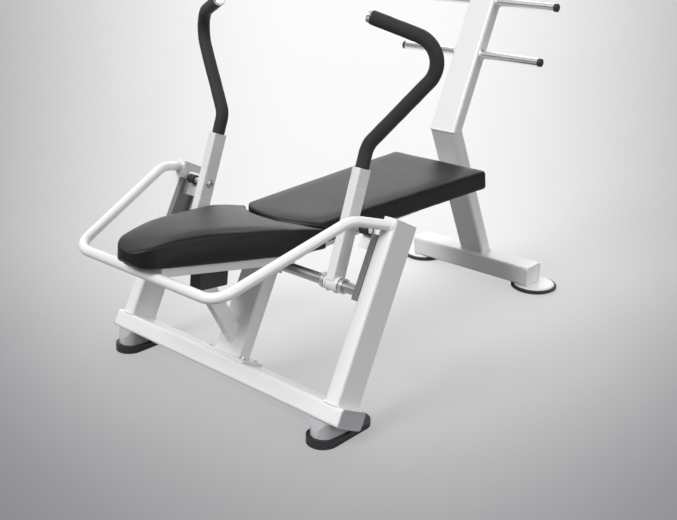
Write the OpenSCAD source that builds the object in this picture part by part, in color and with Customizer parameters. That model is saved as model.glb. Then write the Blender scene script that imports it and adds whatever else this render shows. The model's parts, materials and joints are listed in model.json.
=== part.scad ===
// Abdominal crunch bench with two swinging grip arms and a rack of storage pegs.
// X runs across the bench, +Y towards the rack and +Z up, in millimetres.
// The finished bench stands on Z = 0 with its box centred on X = 0 and Y = 0.
// Inside the modules Y = 0 is the top front edge of the front crossbar.

/* [Front frame] */
// Rearward lean of the front frame, in degrees
front_lean = 27; // [25:0.5:29]
// Length of the front crossbar
front_bar_len = 914; // [890:2:940]
// Long side of the frame's main tube
tube_w = 100; // [96:2:104]
// Short side of the frame's main tube
tube_t = 50; // [46:2:54]
// Wall of the frame's tubes
wall = 3; // [2:0.5:4]
// Height of the frame's lowest tube edges above the floor
foot_gap = 20; // [20:1:26]
// Outer faces of the two uprights from the middle
upright_out = 438; // [430:1:440]
// Width of an upright, seen from the front
upright_w = 45; // [40:1:50]
// Length of an upright along its lean
upright_len = 488; // [480:2:500]

/* [Loop rail] */
// Diameter of the loop rail
rail_d = 28; // [26:1:32]
// Half-width of the rail at its front corners
rail_front_x = 278; // [272:1:280]
// Half-width of the rail at its rear bends
rail_rear_x = 372; // [370:1:376]

/* [Pads] */
// Half-width of the seat at its rear
seat_rear_half = 168; // [160:2:172]
// Half-width of the seat where its round nose starts
seat_nose_half = 72; // [66:2:76]
// Half-width of the back pad at its front
back_front_half = 155; // [150:1:158]
// Half-width of the back pad at its rear
back_rear_half = 198; // [190:1:202]
// Thickness of the boards that carry the pads
board_t = 12; // [9:1:15]

/* [Rack] */
// Length of the rack's upper tube
rack_len = 780; // [760:5:900]
// Distance between the rows of pegs along the tube
peg_pitch = 190; // [170:5:200]
// Radius of a peg
peg_r = 14; // [12:0.5:15]
// Half-length of a peg rod, without its end cap
peg_reach = 272; // [240:2:300]

/* [Grip arms] */
// Rearward lean of the arms at rest, in degrees
arm_lean = 19.6; // [19:0.1:20]
// Distance of an arm's middle from the bench's middle
arm_x = 284; // [282:1:285]
// Width of an arm's tube
arm_w = 28; // [26:1:30]
// Depth of an arm's tube
arm_d = 50; // [44:1:52]
// Length from the pivot to the top of the arm's tube
arm_len = 312; // [300:2:320]
// Outer radius of the foam
foam_r = 19; // [17:0.5:20]
// Radius of the handle's steel bar
bar_r = 11; // [10:0.5:12.5]
// Radius of the fixed shaft that carries the arms
shaft_r = 15; // [14:0.5:15.5]

/* [Hidden] */
$fn = 64;

// Colours
paint = "whitesmoke";
silver = "silver";
plastic = "slategray";
black = "#262626";
vinyl = "#303030";
dark_steel = "dimgray";
ply = "burlywood";

// Small fixed sizes
cut = 1;                // overshoot of a cutting solid
ring_sides = 24;        // sides of a bent tube
bend_steps = 10;        // rings round each of its bends
cap_t = 4;              // visible thickness of a tube's end cap
plate_t = 8;            // thickness of the welded plates
bolt_r = 4;             // M8 bolts
head_r = 7;
head_h = 5;

// Front frame: height of the crossbar's top front edge, its local Y = 0 and Z = 0
edge_z = foot_gap + tube_w * sin(front_lean) + tube_t * cos(front_lean);
post_y = [25, 75];      // front and rear face of the centre post, in the leaning frame
post_len = 262;
base_half = 85;         // half-width of the post's base plate
post_bolt_x = 68;
post_bolt_y = [26, 74];
brace_lean = 29.4;
brace_half = 12.5;
brace_d = 45;
brace_up = 92;          // height of the brace's rear face on the post

// Pivot axis of the arms, and the same point in the leaning frame
pivot_y = 158;
pivot_z = 351;
pivot_local = to_lean(pivot_y, pivot_z);
hub_r = 21;
hub_half = 23;
bush_r = 17;
bush_flange = 3;
bush_in = 5;            // distance of each bush's inner end from the hub's middle
run_gap = 0.05;         // radial clearance of the bushes on the shaft
end_gap = 0.5;          // axial clearance beside each hub
collar_w = 12;
hub_clear = hub_half + bush_flange + end_gap;

// Pivot brackets, in the leaning frame
upright_in = upright_out - upright_w;
bracket_t = 6;
bracket_in = upright_in - 17;
bracket_y = [0, 68];
bracket_z = [262, 440];
bearing_half = 22;      // half the height of a bearing block
stop_up = 160;          // distance of the stop bolt from the pivot along the arm
stop_bolt_r = 6;
roller_r = 14;
roller_x = [330, 358];
stop_plate_z = [396, 466];

// Loop rail's corners, from the right upright forward
rail_end_up = 470;
rail_wall = 2.5;
rail_bend_rear = 90;
rail_bend_front = 60;
rail_rear = [rail_rear_x, 121, 554];
rail_front = [rail_front_x, -250, 420];

// Grip handle's corners beyond the arm
grip_out = [498, 379, 967];
grip_end = [285, 279, 1045];
grip_bend_low = 70;
grip_bend_high = 73;
grip_cap_len = 12;

// Seat: its underside rises towards the nose
nose_y = -305;
nose_start_y = -258;
seat_taper_y = 125;
seat_rear_y = 256;
seat_rise = 6.28;
seat_under_z = 418.2;   // underside at Y = 0
seat_rail_h = 28;
seat_rail_w = 20;
seat_rail_in = 22;      // distance of the seat's rails from its edge
seat_frame_y = [-232, 150];
seat_bars = [[-232, -207], [-68, -28], [-10, 30], [108, 148]];
block_h = 74;
block_half = 20;
block_y = [-72, 30];

// Back pad: its underside rises slightly towards the rack
back_front_y = 196;
back_rear_y = 1015;
back_z = 400;
back_rise = 0.8;
back_thick = 64;
front_arc_r = 232;
back_corner_r = 18;
pad_gap = 3;
spine_w = 50;
spine_top = -12;
spine_h = 70;
spine_y = [12, 1000];
support_y = [160, 660];
support_half = 130;
support_w = 60;

// Rear crossbar and rack
rear_y = 1210;
rear_d = 90;
rear_h = 67;
rear_half = 245;
rear_top = foot_gap + rear_h;
kink = [1012, 576.5];
lower_lean = 24;
upper_lean = 25.7;
first_peg = 286;        // distance of the first row of pegs from the kink
collar_r = 21;
collar_t = 6;
peg_cap_t = 12;
peg_cap_r = 13.6;       // small enough for a plate's hole to pass over
peg_root_r = 14.5;      // thicker middle of a rod, which the tube and collars grip

// Feet
front_foot_x = 398;
front_foot_w = 88;
front_foot_y = [-50, 157];
toe_h = 24;             // height of the front foot's boot at its toe
heel_h = 15;            // and behind the crossbar
foot_rim = 11;          // width of the rim left round each foot's top
rear_foot_x = 243;
rear_foot_y = 1270;
rear_foot_r = 80;
rear_pad_t = 14;
rear_rim = 8;           // and round a rear foot's plate
cap_plug = 15;          // depth of an end cap's plug

// The middle of the bench's length, so that its box is centred on Y = 0
rack_back_y = kink.x + (rack_len + cap_t) * sin(upper_lean) + tube_t * cos(upper_lean);
mid_y = (nose_y + rack_back_y) / 2;

// ---- frames of reference ----

// A point given by its Y and Z, in the leaning frame of the front crossbar
function to_lean(y, z) = [
    y * cos(front_lean) - (z - edge_z) * sin(front_lean),
    y * sin(front_lean) + (z - edge_z) * cos(front_lean)
];

// A point of the leaning frame, back in Y and Z
function from_lean(y, z) = [
    y * cos(front_lean) + z * sin(front_lean),
    edge_z - y * sin(front_lean) + z * cos(front_lean)
];

function seat_under(y) = seat_under_z - y * tan(seat_rise);

module bench() translate([0, -mid_y, 0]) children();

module leaning() bench() translate([0, 0, edge_z]) rotate([-front_lean, 0, 0]) children();

// Seat frame: Z = 0 is the underside of the seat's board
module seat_plane() bench() translate([0, 0, seat_under_z]) rotate([-seat_rise, 0, 0]) children();

// Back pad's frame: Y = 0 is its front edge and Z = 0 the underside of its board
module back_plane() bench() translate([0, back_front_y, back_z]) rotate([back_rise, 0, 0]) children();

module on_side(side) mirror([side < 0 ? 1 : 0, 0, 0]) children();

module both_sides() {
    for (side = [-1, 1]) on_side(side) children();
}

// ---- shapes that repeat ----

// A box from its low to its high corner
module box(low, high) translate(low) cube(high - low);

// A rod along X between two values of X
module rod_x(x, r) translate([x[0], 0, 0]) rotate([0, 90, 0]) cylinder(h = x[1] - x[0], r = r);

// An outline in Y and Z, extruded along X
module side_plate(x, points) {
    translate([x[0], 0, 0]) rotate([90, 0, 90]) linear_extrude(height = x[1] - x[0]) polygon(points);
}

// A rectangular tube standing on Z = 0
module square_tube(x, y, height) {
    difference() {
        box([x[0], y[0], 0], [x[1], y[1], height]);
        box([x[0] + wall, y[0] + wall, -cut], [x[1] - wall, y[1] - wall, height + cut]);
    }
}

function unit(v) = v / norm(v);
function heading(path, i) = unit(path[i + 1] - path[i]);
function turn(path, i) = acos(heading(path, i - 1) * heading(path, i));

// A path whose two ends are moved outwards
function longer(path, extra) = [
    for (i = [0 : len(path) - 1])
        i == 0 ? path[0] - extra * heading(path, 0)
        : i == len(path) - 1 ? path[i] + extra * heading(path, i - 1)
        : path[i]
];

// Centres and headings of the rings round one bend, in order
function bend_rings(path, i, bend_r) =
    let (
        along = heading(path, i - 1),
        angle = turn(path, i),
        outward = cross(along, unit(cross(along, heading(path, i)))),
        centre = path[i] - along * bend_r * tan(angle / 2) - outward * bend_r
    ) [
        for (k = [0 : bend_steps])
            let (a = angle * k / bend_steps)
            [centre + bend_r * (outward * cos(a) + along * sin(a)), along * cos(a) - outward * sin(a)]
    ];

// Centres and headings of all rings along a path of straight runs and bends
function path_rings(path, bends) = concat(
    [[path[0], heading(path, 0)]],
    [for (i = [1 : len(path) - 2]) each bend_rings(path, i, bends[i - 1])],
    [[path[len(path) - 1], heading(path, len(path) - 2)]]
);

// Points of one ring; up is any direction that the path never takes
function ring_points(ring, r, up) =
    let (x = unit(cross(up, ring[1])), y = cross(ring[1], x)) [
        for (k = [0 : ring_sides - 1])
            ring[0] + r * (x * cos(360 * k / ring_sides) + y * sin(360 * k / ring_sides))
    ];

// Side faces between each ring and the next, starting at a given point number
function skin(rings, first, outwards) = [
    for (i = [0 : rings - 2], k = [0 : ring_sides - 1])
        let (
            a = first + i * ring_sides + k,
            b = first + i * ring_sides + (k + 1) % ring_sides,
            quad = [a, a + ring_sides, b + ring_sides, b]
        )
        each outwards ? [[quad[0], quad[1], quad[2]], [quad[0], quad[2], quad[3]]]
            : [[quad[2], quad[1], quad[0]], [quad[3], quad[2], quad[0]]]
];

// End face between an outer and an inner ring
function ring_end(outer, inner, outwards) = [
    for (k = [0 : ring_sides - 1])
        let (n = (k + 1) % ring_sides, quad = [outer + k, outer + n, inner + n, inner + k])
        each outwards ? [[quad[0], quad[1], quad[2]], [quad[0], quad[2], quad[3]]]
            : [[quad[2], quad[1], quad[0]], [quad[3], quad[2], quad[0]]]
];

// A round tube along a path, with a bore of radius bore
module bent_tube(path, bends, r, bore, up) {
    rings = path_rings(path, bends);
    count = len(rings);
    inner = count * ring_sides;
    last = (count - 1) * ring_sides;
    polyhedron(
        points = concat(
            [for (ring = rings) each ring_points(ring, r, up)],
            [for (ring = rings) each ring_points(ring, bore, up)]
        ),
        faces = concat(
            skin(count, 0, true), skin(count, inner, false),
            ring_end(0, inner, true), ring_end(last, inner + last, false)
        )
    );
}

// A solid round bar along a path
module bent_bar(path, bends, r, up) {
    rings = path_rings(path, bends);
    last = (len(rings) - 1) * ring_sides;
    polyhedron(
        points = [for (ring = rings) each ring_points(ring, r, up)],
        faces = concat(
            skin(len(rings), 0, true),
            [[for (k = [0 : ring_sides - 1]) k]],
            [[for (k = [ring_sides - 1 : -1 : 0]) last + k]]
        )
    );
}

module hex_bolt(r, h) cylinder(h = h, r = r, $fn = 6);

// ---- front frame ----

module front_crossbar() {
    half = front_bar_len / 2;
    color(paint) leaning() difference() {
        box([-half, 0, -tube_t], [half, tube_w, 0]);
        box([-half - cut, wall, wall - tube_t], [half + cut, tube_w - wall, -wall]);
    }
}

module front_end_caps() {
    half = front_bar_len / 2;
    color(plastic) leaning() both_sides() {
        box([half, 0, -tube_t], [half + cap_t, tube_w, 0]);
        box([half - cap_plug, wall, wall - tube_t], [half, tube_w - wall, -wall]);
    }
}

module upright(side) {
    color(paint) leaning() on_side(side) square_tube([upright_in, upright_out], [0, tube_w], upright_len);
}

module upright_caps() {
    color(paint) leaning() both_sides()
        box([upright_in, 0, upright_len], [upright_out, tube_w, upright_len + cap_t]);
}

module loop_rail() {
    weld = from_lean(0, rail_end_up);
    right_end = [upright_in + upright_w / 2, weld[0], weld[1]];
    half = [right_end, rail_rear, rail_front];
    path = concat(half, [for (i = [2 : -1 : 0]) [-half[i].x, half[i].y, half[i].z]]);
    bends = [rail_bend_rear, rail_bend_front, rail_bend_front, rail_bend_rear];
    color(paint) difference() {
        bench() bent_tube(longer(path, rail_d), bends, rail_d / 2, rail_d / 2 - rail_wall, [0, 0, 1]);
        leaning() both_sides()
            box([upright_in - rail_d, 0, rail_end_up - 90], [upright_out + rail_d, 90, rail_end_up + 90]);
    }
}

module post_base_plate() {
    color(paint) leaning() difference() {
        box([-base_half, 8, 0], [base_half, 92, plate_t]);
        base_bolt_places() translate([0, 0, -cut]) cylinder(h = plate_t + 2 * cut, r = bolt_r + 0.5);
    }
}

module base_bolt_places() {
    for (x = [-post_bolt_x, post_bolt_x], y = post_bolt_y) translate([x, y, 0]) children();
}

module post_base_bolts() {
    color(silver) leaning() base_bolt_places() translate([0, 0, plate_t]) {
        cylinder(h = 1.5, r = head_r + 2);
        translate([0, 0, 1.5]) hex_bolt(head_r, head_h);
    }
}

module centre_post() {
    color(paint) leaning() translate([0, 0, plate_t])
        square_tube([-tube_w / 2, tube_w / 2], post_y, post_len - plate_t);
}

// Two cheeks on the post that hold the fixed shaft, the seat's frame and the spine
module centre_bracket() {
    inner = spine_w / 2;
    outer = inner + plate_t;
    top = post_len + plate_t;
    seat_bar_drop = seat_rail_h / cos(seat_rise);
    cheek = [
        from_lean(8, top), from_lean(82, top), [300, 322], [300, 389], [190, 388],
        [seat_frame_y[1], seat_under(seat_frame_y[1]) - seat_bar_drop],
        [seat_frame_y[1] - 45, seat_under(seat_frame_y[1] - 45) - seat_bar_drop]
    ];
    color(paint) {
        leaning() box([-tube_w / 2, 5, post_len], [tube_w / 2, 85, top]);
        bench() both_sides() difference() {
            side_plate([inner, outer], cheek);
            translate([0, pivot_y, pivot_z]) rod_x([inner - cut, outer + cut], shaft_r);
        }
    }
}

// Flat tube from the post's front face up to the block under the seat
module brace() {
    half = brace_half;
    foot = from_lean(post_y[0], brace_up);
    color(paint) difference() {
        bench() translate([0, foot[0], foot[1]]) rotate([brace_lean, 0, 0]) difference() {
            box([-half, -brace_d, -60], [half, 0, 300]);
            box([-half + wall, wall - brace_d, -60 - cut], [half - wall, -wall, 300 + cut]);
        }
        leaning() box([-half - cut, post_y[0], -60], [half + cut, post_y[0] + 150, 260]);
        seat_plane() box([-half - cut, -300, -seat_rail_h - block_h], [half + cut, 200, 200]);
    }
}

module seat_block() {
    color(black) seat_plane()
        box([-block_half, block_y[0], -seat_rail_h - block_h], [block_half, block_y[1], -seat_rail_h]);
}

// ---- seat and back ----

// Half-width of the seat along its tapered flank
function seat_half(y) = seat_nose_half
    + (seat_rear_half - seat_nose_half) * (y - nose_start_y) / (seat_taper_y - nose_start_y);

// Radius and centre of the nose's arc through its tip and its two shoulders
nose_depth = nose_start_y - nose_y;
nose_r = (seat_nose_half * seat_nose_half + nose_depth * nose_depth) / (2 * nose_depth);

// Plan of the seat, smaller by an inset
module seat_plan(inset) {
    half_rear = seat_rear_half - inset;
    half_nose = seat_nose_half - inset;
    polygon([
        [-half_nose, nose_start_y], [half_nose, nose_start_y], [half_rear, seat_taper_y],
        [half_rear, seat_rear_y - inset], [-half_rear, seat_rear_y - inset], [-half_rear, seat_taper_y]
    ]);
    intersection() {
        translate([0, nose_y + nose_r]) circle(r = nose_r - inset, $fn = 128);
        translate([-half_nose, nose_y]) square([2 * half_nose, nose_depth + cut]);
    }
}

// The back pad's curved front edge, cut out of the seat with a gap all along
module seat_rear_cut(gap) {
    translate([0, back_front_y + front_arc_r]) circle(r = front_arc_r + gap, $fn = 160);
}

module seat_solid(low, high_points, inset, gap) {
    bench() intersection() {
        translate([0, 0, 300]) linear_extrude(height = 300) difference() {
            seat_plan(inset);
            seat_rear_cut(gap);
        }
        side_plate([-300, 300], concat(low, high_points));
    }
}

module seat_board() {
    color(ply) seat_solid(
        [[-400, seat_under(-400)], [400, seat_under(400)]],
        [[400, seat_under(400) + board_t], [-400, seat_under(-400) + board_t]], 14, 14);
}

module seat_pad() {
    low = [[nose_y, 468], [-285, seat_under(-285) + 1], [seat_rear_y, seat_under(seat_rear_y) + 1]];
    hump = [
        [seat_rear_y, 452], [100, 484], [-30, 505], [-120, 515], [-190, 515], [-265, 507], [nose_y, 494]
    ];
    color(vinyl) difference() {
        seat_solid(low, hump, 0, pad_gap);
        seat_solid([[-400, seat_under(-400) - 5], [400, seat_under(400) - 5]],
            [[400, seat_under(400) + board_t], [-400, seat_under(-400) + board_t]], 14, 14);
    }
}

module seat_rails() {
    outer = seat_rail_in;
    inner = seat_rail_in + seat_rail_w;
    color(paint) seat_plane() both_sides() translate([0, 0, -seat_rail_h])
        linear_extrude(height = seat_rail_h) polygon([
            for (p = [[0, outer], [1, outer], [1, inner], [0, inner]])
                [seat_half(seat_frame_y[p[0]]) - p[1], seat_frame_y[p[0]]]
        ]);
}

// Flat bars between the two rails, cut to the seat's taper
module seat_cross_bars() {
    reach = seat_rail_in + seat_rail_w;
    color(paint) seat_plane() for (y = seat_bars) translate([0, 0, -seat_rail_h])
        linear_extrude(height = seat_rail_h) polygon([
            [reach - seat_half(y[0]), y[0]], [seat_half(y[0]) - reach, y[0]],
            [seat_half(y[1]) - reach, y[1]], [reach - seat_half(y[1]), y[1]]
        ]);
}

// Plan of the back pad in its own frame, smaller by an inset
module back_plan(inset) {
    length = back_rear_y - back_front_y;
    front = 60;
    flare = (back_rear_half - back_front_half) / (length - front);
    rear_half = back_rear_half - inset;
    corner = back_corner_r;
    front_half = back_front_half - flare * front - inset;
    intersection() {
        union() {
            polygon([
                [-front_half, 0], [front_half, 0],
                [rear_half, length - corner - inset], [-rear_half, length - corner - inset]
            ]);
            for (side = [-1, 1]) translate([side * (rear_half - corner), length - corner - inset])
                circle(r = corner);
            translate([corner - rear_half, length - 2 * corner - inset])
                square([2 * (rear_half - corner), 2 * corner]);
        }
        union() {
            translate([0, front_arc_r]) circle(r = front_arc_r - inset, $fn = 160);
            translate([-300, front_arc_r / 2]) square([600, length]);
        }
    }
}

module back_board() {
    color(ply) back_plane() linear_extrude(height = board_t) back_plan(14);
}

module back_pad() {
    color(vinyl) back_plane() difference() {
        translate([0, 0, 1]) linear_extrude(height = back_thick) back_plan(0);
        translate([0, 0, -cut]) linear_extrude(height = board_t + cut) back_plan(14);
    }
}

module spine_beam() {
    half = spine_w / 2;
    color(paint) difference() {
        back_plane() difference() {
            box([-half, spine_y[0], spine_top - spine_h], [half, spine_y[1], spine_top]);
            box([-half + wall, spine_y[0] - cut, spine_top - spine_h + wall],
                [half - wall, spine_y[1] + cut, spine_top - wall]);
        }
        bench() side_plate([-100, 100],
            [rack_lower(0), rack_kink(0), rack_kink(0) + [300, 0], rack_lower(0) + [300, 0]]);
    }
}

module pad_supports() {
    color(paint) back_plane() for (y = support_y)
        box([-support_half, y, spine_top], [support_half, y + support_w, 0]);
}

module pad_bolts() {
    color(silver) {
        back_plane() for (y = support_y, x = [-105, -50, 50, 105])
            translate([x, y + support_w / 2, spine_top - head_h]) hex_bolt(head_r, head_h);
        seat_plane() for (bar = [seat_bars[1], seat_bars[2]], side = [-1, 1])
            translate([side * (seat_half(bar[0]) - 60), (bar[0] + bar[1]) / 2, -seat_rail_h - head_h])
                hex_bolt(head_r, head_h);
    }
}

// ---- rear frame and rack ----

rack_normal_low = [cos(lower_lean), sin(lower_lean)];
rack_normal_high = [cos(upper_lean), -sin(upper_lean)];
rack_mitre = (rack_normal_low + rack_normal_high) / (1 + rack_normal_low * rack_normal_high);

// Points of the rack's profile at a depth behind its front face
function rack_kink(depth) = kink + depth * rack_mitre;
function rack_lower(depth) = [
    kink.x + (kink.y - rear_top) * tan(lower_lean) + depth / cos(lower_lean), rear_top
];
function rack_up(depth, up) =
    kink + depth * rack_normal_high + up * [sin(upper_lean), cos(upper_lean)];

module rack_tube(outer, inner) {
    bench() difference() {
        side_plate([-tube_w / 2, tube_w / 2], outer);
        side_plate([wall - tube_w / 2, tube_w / 2 - wall], inner);
    }
}

module rack_lower_tube() {
    overshoot = [-sin(lower_lean), cos(lower_lean)];
    color(paint) rack_tube(
        [rack_lower(0), rack_lower(tube_t), rack_kink(tube_t), rack_kink(0)],
        [rack_lower(wall) - overshoot, rack_lower(tube_t - wall) - overshoot,
            rack_kink(tube_t - wall) + overshoot, rack_kink(wall) + overshoot]);
}

module rack_upper_tube() {
    overshoot = [sin(upper_lean), cos(upper_lean)];
    color(paint) difference() {
        rack_tube(
            [rack_kink(0), rack_kink(tube_t), rack_up(tube_t, rack_len), rack_up(0, rack_len)],
            [rack_kink(wall) - overshoot, rack_kink(tube_t - wall) - overshoot,
                rack_up(tube_t - wall, rack_len) + overshoot, rack_up(wall, rack_len) + overshoot]);
        for (row = [0 : 2]) at_peg_row(row) rod_x([-tube_w, tube_w], peg_root_r);
    }
}

module rack_cap() {
    color(plastic) bench() side_plate([-tube_w / 2, tube_w / 2],
        [rack_up(0, rack_len), rack_up(tube_t, rack_len), rack_up(tube_t, rack_len + cap_t),
            rack_up(0, rack_len + cap_t)]);
}

module at_peg_row(row) {
    place = rack_up(tube_t / 2, first_peg + row * peg_pitch);
    bench() translate([0, place.x, place.y]) children();
}

module peg_rod(row) {
    root = tube_w / 2 + collar_t;
    color("lightgray") at_peg_row(row) {
        rod_x([-peg_reach, peg_reach], peg_r);
        rod_x([-root, root], peg_root_r);
    }
}

module peg_collars() {
    color(silver) for (row = [0 : 2]) at_peg_row(row) both_sides() difference() {
        rod_x([tube_w / 2, tube_w / 2 + collar_t], collar_r);
        rod_x([tube_w / 2 - cut, tube_w / 2 + collar_t + cut], peg_root_r);
    }
}

module peg_end_caps() {
    color(black) for (row = [0 : 2]) at_peg_row(row) both_sides()
        rod_x([peg_reach, peg_reach + peg_cap_t], peg_cap_r);
}

module rear_crossbar() {
    color(paint) bench() difference() {
        box([-rear_half, rear_y, foot_gap], [rear_half, rear_y + rear_d, rear_top]);
        box([-rear_half - cut, rear_y + wall, foot_gap + wall],
            [rear_half + cut, rear_y + rear_d - wall, rear_top - wall]);
    }
}

module rear_end_caps() {
    color("gainsboro") bench() both_sides() {
        box([rear_half, rear_y, foot_gap], [rear_half + cap_t, rear_y + rear_d, rear_top]);
        box([rear_half - cap_plug, rear_y + wall, foot_gap + wall],
            [rear_half, rear_y + rear_d - wall, rear_top - wall]);
    }
}

// ---- feet ----

// Long foot with round ends, shrunk all round by an inset
module front_foot_plan(inset) {
    r = front_foot_w / 2 - inset;
    for (y = [front_foot_y[0] + front_foot_w / 2, front_foot_y[1] - front_foot_w / 2])
        translate([front_foot_x, y]) circle(r = r);
    translate([front_foot_x - r, front_foot_y[0] + front_foot_w / 2])
        square([2 * r, front_foot_y[1] - front_foot_y[0] - front_foot_w]);
}

module front_foot(profile, inset) {
    side = [front_foot_x - front_foot_w, front_foot_x + front_foot_w];
    bench() both_sides() intersection() {
        linear_extrude(height = tube_w) front_foot_plan(inset);
        side_plate(side, profile);
    }
}

// Lower front and rear edges of the leaning crossbar
low_front = from_lean(0, -tube_t);
low_rear = from_lean(tube_w, -tube_t);

// Rubber boot, high at the toe and flat at the heel
module front_foot_pads() {
    heel = front_foot_y[1] + cut;
    color(black) front_foot([
        [front_foot_y[0], 0], [heel, 0], [heel, heel_h], [low_rear[0], heel_h], [front_foot_y[0], toe_h]
    ], 0);
}

// Wedge that fills the space between the boot and the leaning crossbar
module front_foot_saddles() {
    color(plastic) front_foot([
        [front_foot_y[0], toe_h], [low_rear[0], heel_h], low_rear, low_front,
        [low_front[0] - cap_t, low_front[1]]
    ], foot_rim);
}

module at_rear_feet(height) {
    bench() both_sides() translate([rear_foot_x, rear_foot_y, height]) children();
}

module rear_foot_plates() {
    color(paint) at_rear_feet(rear_pad_t)
        cylinder(h = foot_gap - rear_pad_t, r = rear_foot_r - rear_rim);
}

module rear_foot_pads() {
    color(black) at_rear_feet(0) cylinder(h = rear_pad_t, r = rear_foot_r);
}

// ---- pivot of the arms ----

module at_pivot() bench() translate([0, pivot_y, pivot_z]) children();

module cross_shaft() {
    color(silver) at_pivot() rod_x([-upright_in, upright_in], shaft_r);
}

module shaft_collars() {
    color(silver) at_pivot() both_sides()
        for (x = [arm_x - hub_clear - collar_w, arm_x + hub_clear]) difference() {
            rod_x([x, x + collar_w], hub_r);
            rod_x([x - cut, x + collar_w + cut], shaft_r);
        }
}

// Channel on the inner face of an upright
module pivot_bracket(side) {
    color(dark_steel) leaning() on_side(side) difference() {
        box([bracket_in, bracket_y[0], bracket_z[0]], [upright_in, bracket_y[1], bracket_z[1]]);
        box([bracket_in - cut, bracket_y[0] + bracket_t, bracket_z[0] - cut],
            [upright_in - bracket_t, bracket_y[1] - bracket_t, bracket_z[1] + cut]);
        translate([0, pivot_local[0], pivot_local[1]]) rod_x([bracket_in, upright_in + cut], shaft_r);
    }
}

module bearing_blocks() {
    color(silver) leaning() both_sides() difference() {
        box([bracket_in, bracket_y[0] + bracket_t, pivot_local[1] - bearing_half],
            [upright_in - bracket_t, bracket_y[1] - bracket_t, pivot_local[1] + bearing_half]);
        translate([0, pivot_local[0], pivot_local[1]]) rod_x([bracket_in - cut, upright_in], shaft_r);
    }
}

// Plates behind the rollers that stop the arms at rest
module stop_plates() {
    roller = to_lean(pivot_y + stop_up * sin(arm_lean), pivot_z + stop_up * cos(arm_lean));
    face = roller[0] + roller_r + end_gap;
    color(paint) leaning() both_sides()
        box([roller_x[0] - 5, face, stop_plate_z[0]], [upright_in - bracket_t, face + plate_t, stop_plate_z[1]]);
}

// ---- grip arms ----

// The arm's own frame: Z runs up the arm from the pivot
module arm_frame(side) at_pivot() on_side(side) rotate([-arm_lean, 0, 0]) children();

module at_stop_bolt() translate([0, 0, stop_up]) children();

module arm_tube(side) {
    low = [arm_x - arm_w / 2, -arm_d / 2];
    high = [arm_x + arm_w / 2, arm_d / 2];
    color(silver) arm_frame(side) difference() {
        box([low.x, low.y, 0], [high.x, high.y, arm_len]);
        box([low.x + wall, low.y + wall, -cut], [high.x - wall, high.y - wall, arm_len - 5]);
        rod_x([arm_x - hub_half, arm_x + hub_half], hub_r);
        box([low.x - cut, low.y - cut, -cut], [high.x + cut, high.y + cut, 8]);
        at_stop_bolt() rod_x([low.x - cut, high.x + cut], stop_bolt_r);
    }
}

module arm_hub(side) {
    color(silver) arm_frame(side) difference() {
        rod_x([arm_x - hub_half, arm_x + hub_half], hub_r);
        rod_x([arm_x - hub_half - cut, arm_x + hub_half + cut], bush_r);
    }
}

module hub_bushes(side) {
    color("darkkhaki") arm_frame(side) for (end = [-1, 1]) translate([arm_x, 0, 0]) on_side(end)
        difference() {
            union() {
                rod_x([bush_in, hub_half], bush_r);
                rod_x([hub_half, hub_half + bush_flange], hub_r - 1);
            }
            rod_x([bush_in - cut, hub_half + bush_flange + cut], shaft_r + run_gap);
        }
}

// Path of a handle, from the top of the arm's tube
function grip_path() = [
    arm_point(arm_len), arm_point(arm_len + 63), grip_out,
    grip_end - unit(grip_end - grip_out) * grip_cap_len / 2
];
function arm_point(up) = [arm_x, pivot_y + up * sin(arm_lean), pivot_z + up * cos(arm_lean)];
grip_bends = [grip_bend_low, grip_bend_high];

module handle_bar(side) {
    color(silver) bench() on_side(side) bent_bar(grip_path(), grip_bends, bar_r, [0, 1, 0]);
}

module foam_grip(side) {
    color(black) bench() on_side(side) bent_tube(grip_path(), grip_bends, foam_r, bar_r, [0, 1, 0]);
}

module grip_cap(side) {
    along = unit(grip_end - grip_out);
    start = grip_end - along * grip_cap_len / 2;
    color(silver) bench() on_side(side) translate(start)
        rotate([0, acos(along.z), atan2(along.y, along.x)])
        cylinder(h = grip_cap_len, r = foam_r - 1);
}

// Bolt through the arm that carries the roller
module stop_bolt(side) {
    inner = arm_x - arm_w / 2;
    outer = arm_x + arm_w / 2;
    color(dark_steel) arm_frame(side) at_stop_bolt() {
        rod_x([inner, roller_x[1]], stop_bolt_r);
        rod_x([outer, roller_x[0]], stop_bolt_r + 3);
        translate([inner - 8, 0, 0]) rotate([0, 90, 0]) hex_bolt(11, 8);
        rod_x([roller_x[1], roller_x[1] + 3], stop_bolt_r + 2);
    }
}

module stop_roller(side) {
    color(black) arm_frame(side) at_stop_bolt() difference() {
        rod_x(roller_x, roller_r);
        rod_x([roller_x[0] - cut, roller_x[1] + cut], stop_bolt_r);
    }
}

// ---- output ----

front_crossbar();
front_end_caps();
upright(-1);  // left_upright
upright(1);  // right_upright
upright_caps();
loop_rail();
post_base_plate();
centre_post();
centre_bracket();
brace();
seat_block();
seat_rails();
seat_cross_bars();
spine_beam();
pad_supports();
rear_crossbar();
rear_end_caps();
rack_lower_tube();
rack_upper_tube();
rack_cap();
peg_rod(0);  // lower_peg_rod
peg_rod(1);  // middle_peg_rod
peg_rod(2);  // upper_peg_rod
peg_collars();
peg_end_caps();
cross_shaft();
shaft_collars();
pivot_bracket(-1);  // left_pivot_bracket
pivot_bracket(1);  // right_pivot_bracket
bearing_blocks();
stop_plates();
front_foot_saddles();
front_foot_pads();
rear_foot_plates();
rear_foot_pads();
seat_board();
seat_pad();
back_board();
back_pad();
post_base_bolts();
pad_bolts();
arm_tube(-1);  // left_arm_tube
arm_hub(-1);  // left_arm_hub
hub_bushes(-1);  // left_hub_bushes
handle_bar(-1);  // left_handle_bar
foam_grip(-1);  // left_foam_grip
grip_cap(-1);  // left_grip_cap
stop_bolt(-1);  // left_stop_bolt
stop_roller(-1);  // left_stop_roller
arm_tube(1);  // right_arm_tube
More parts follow.
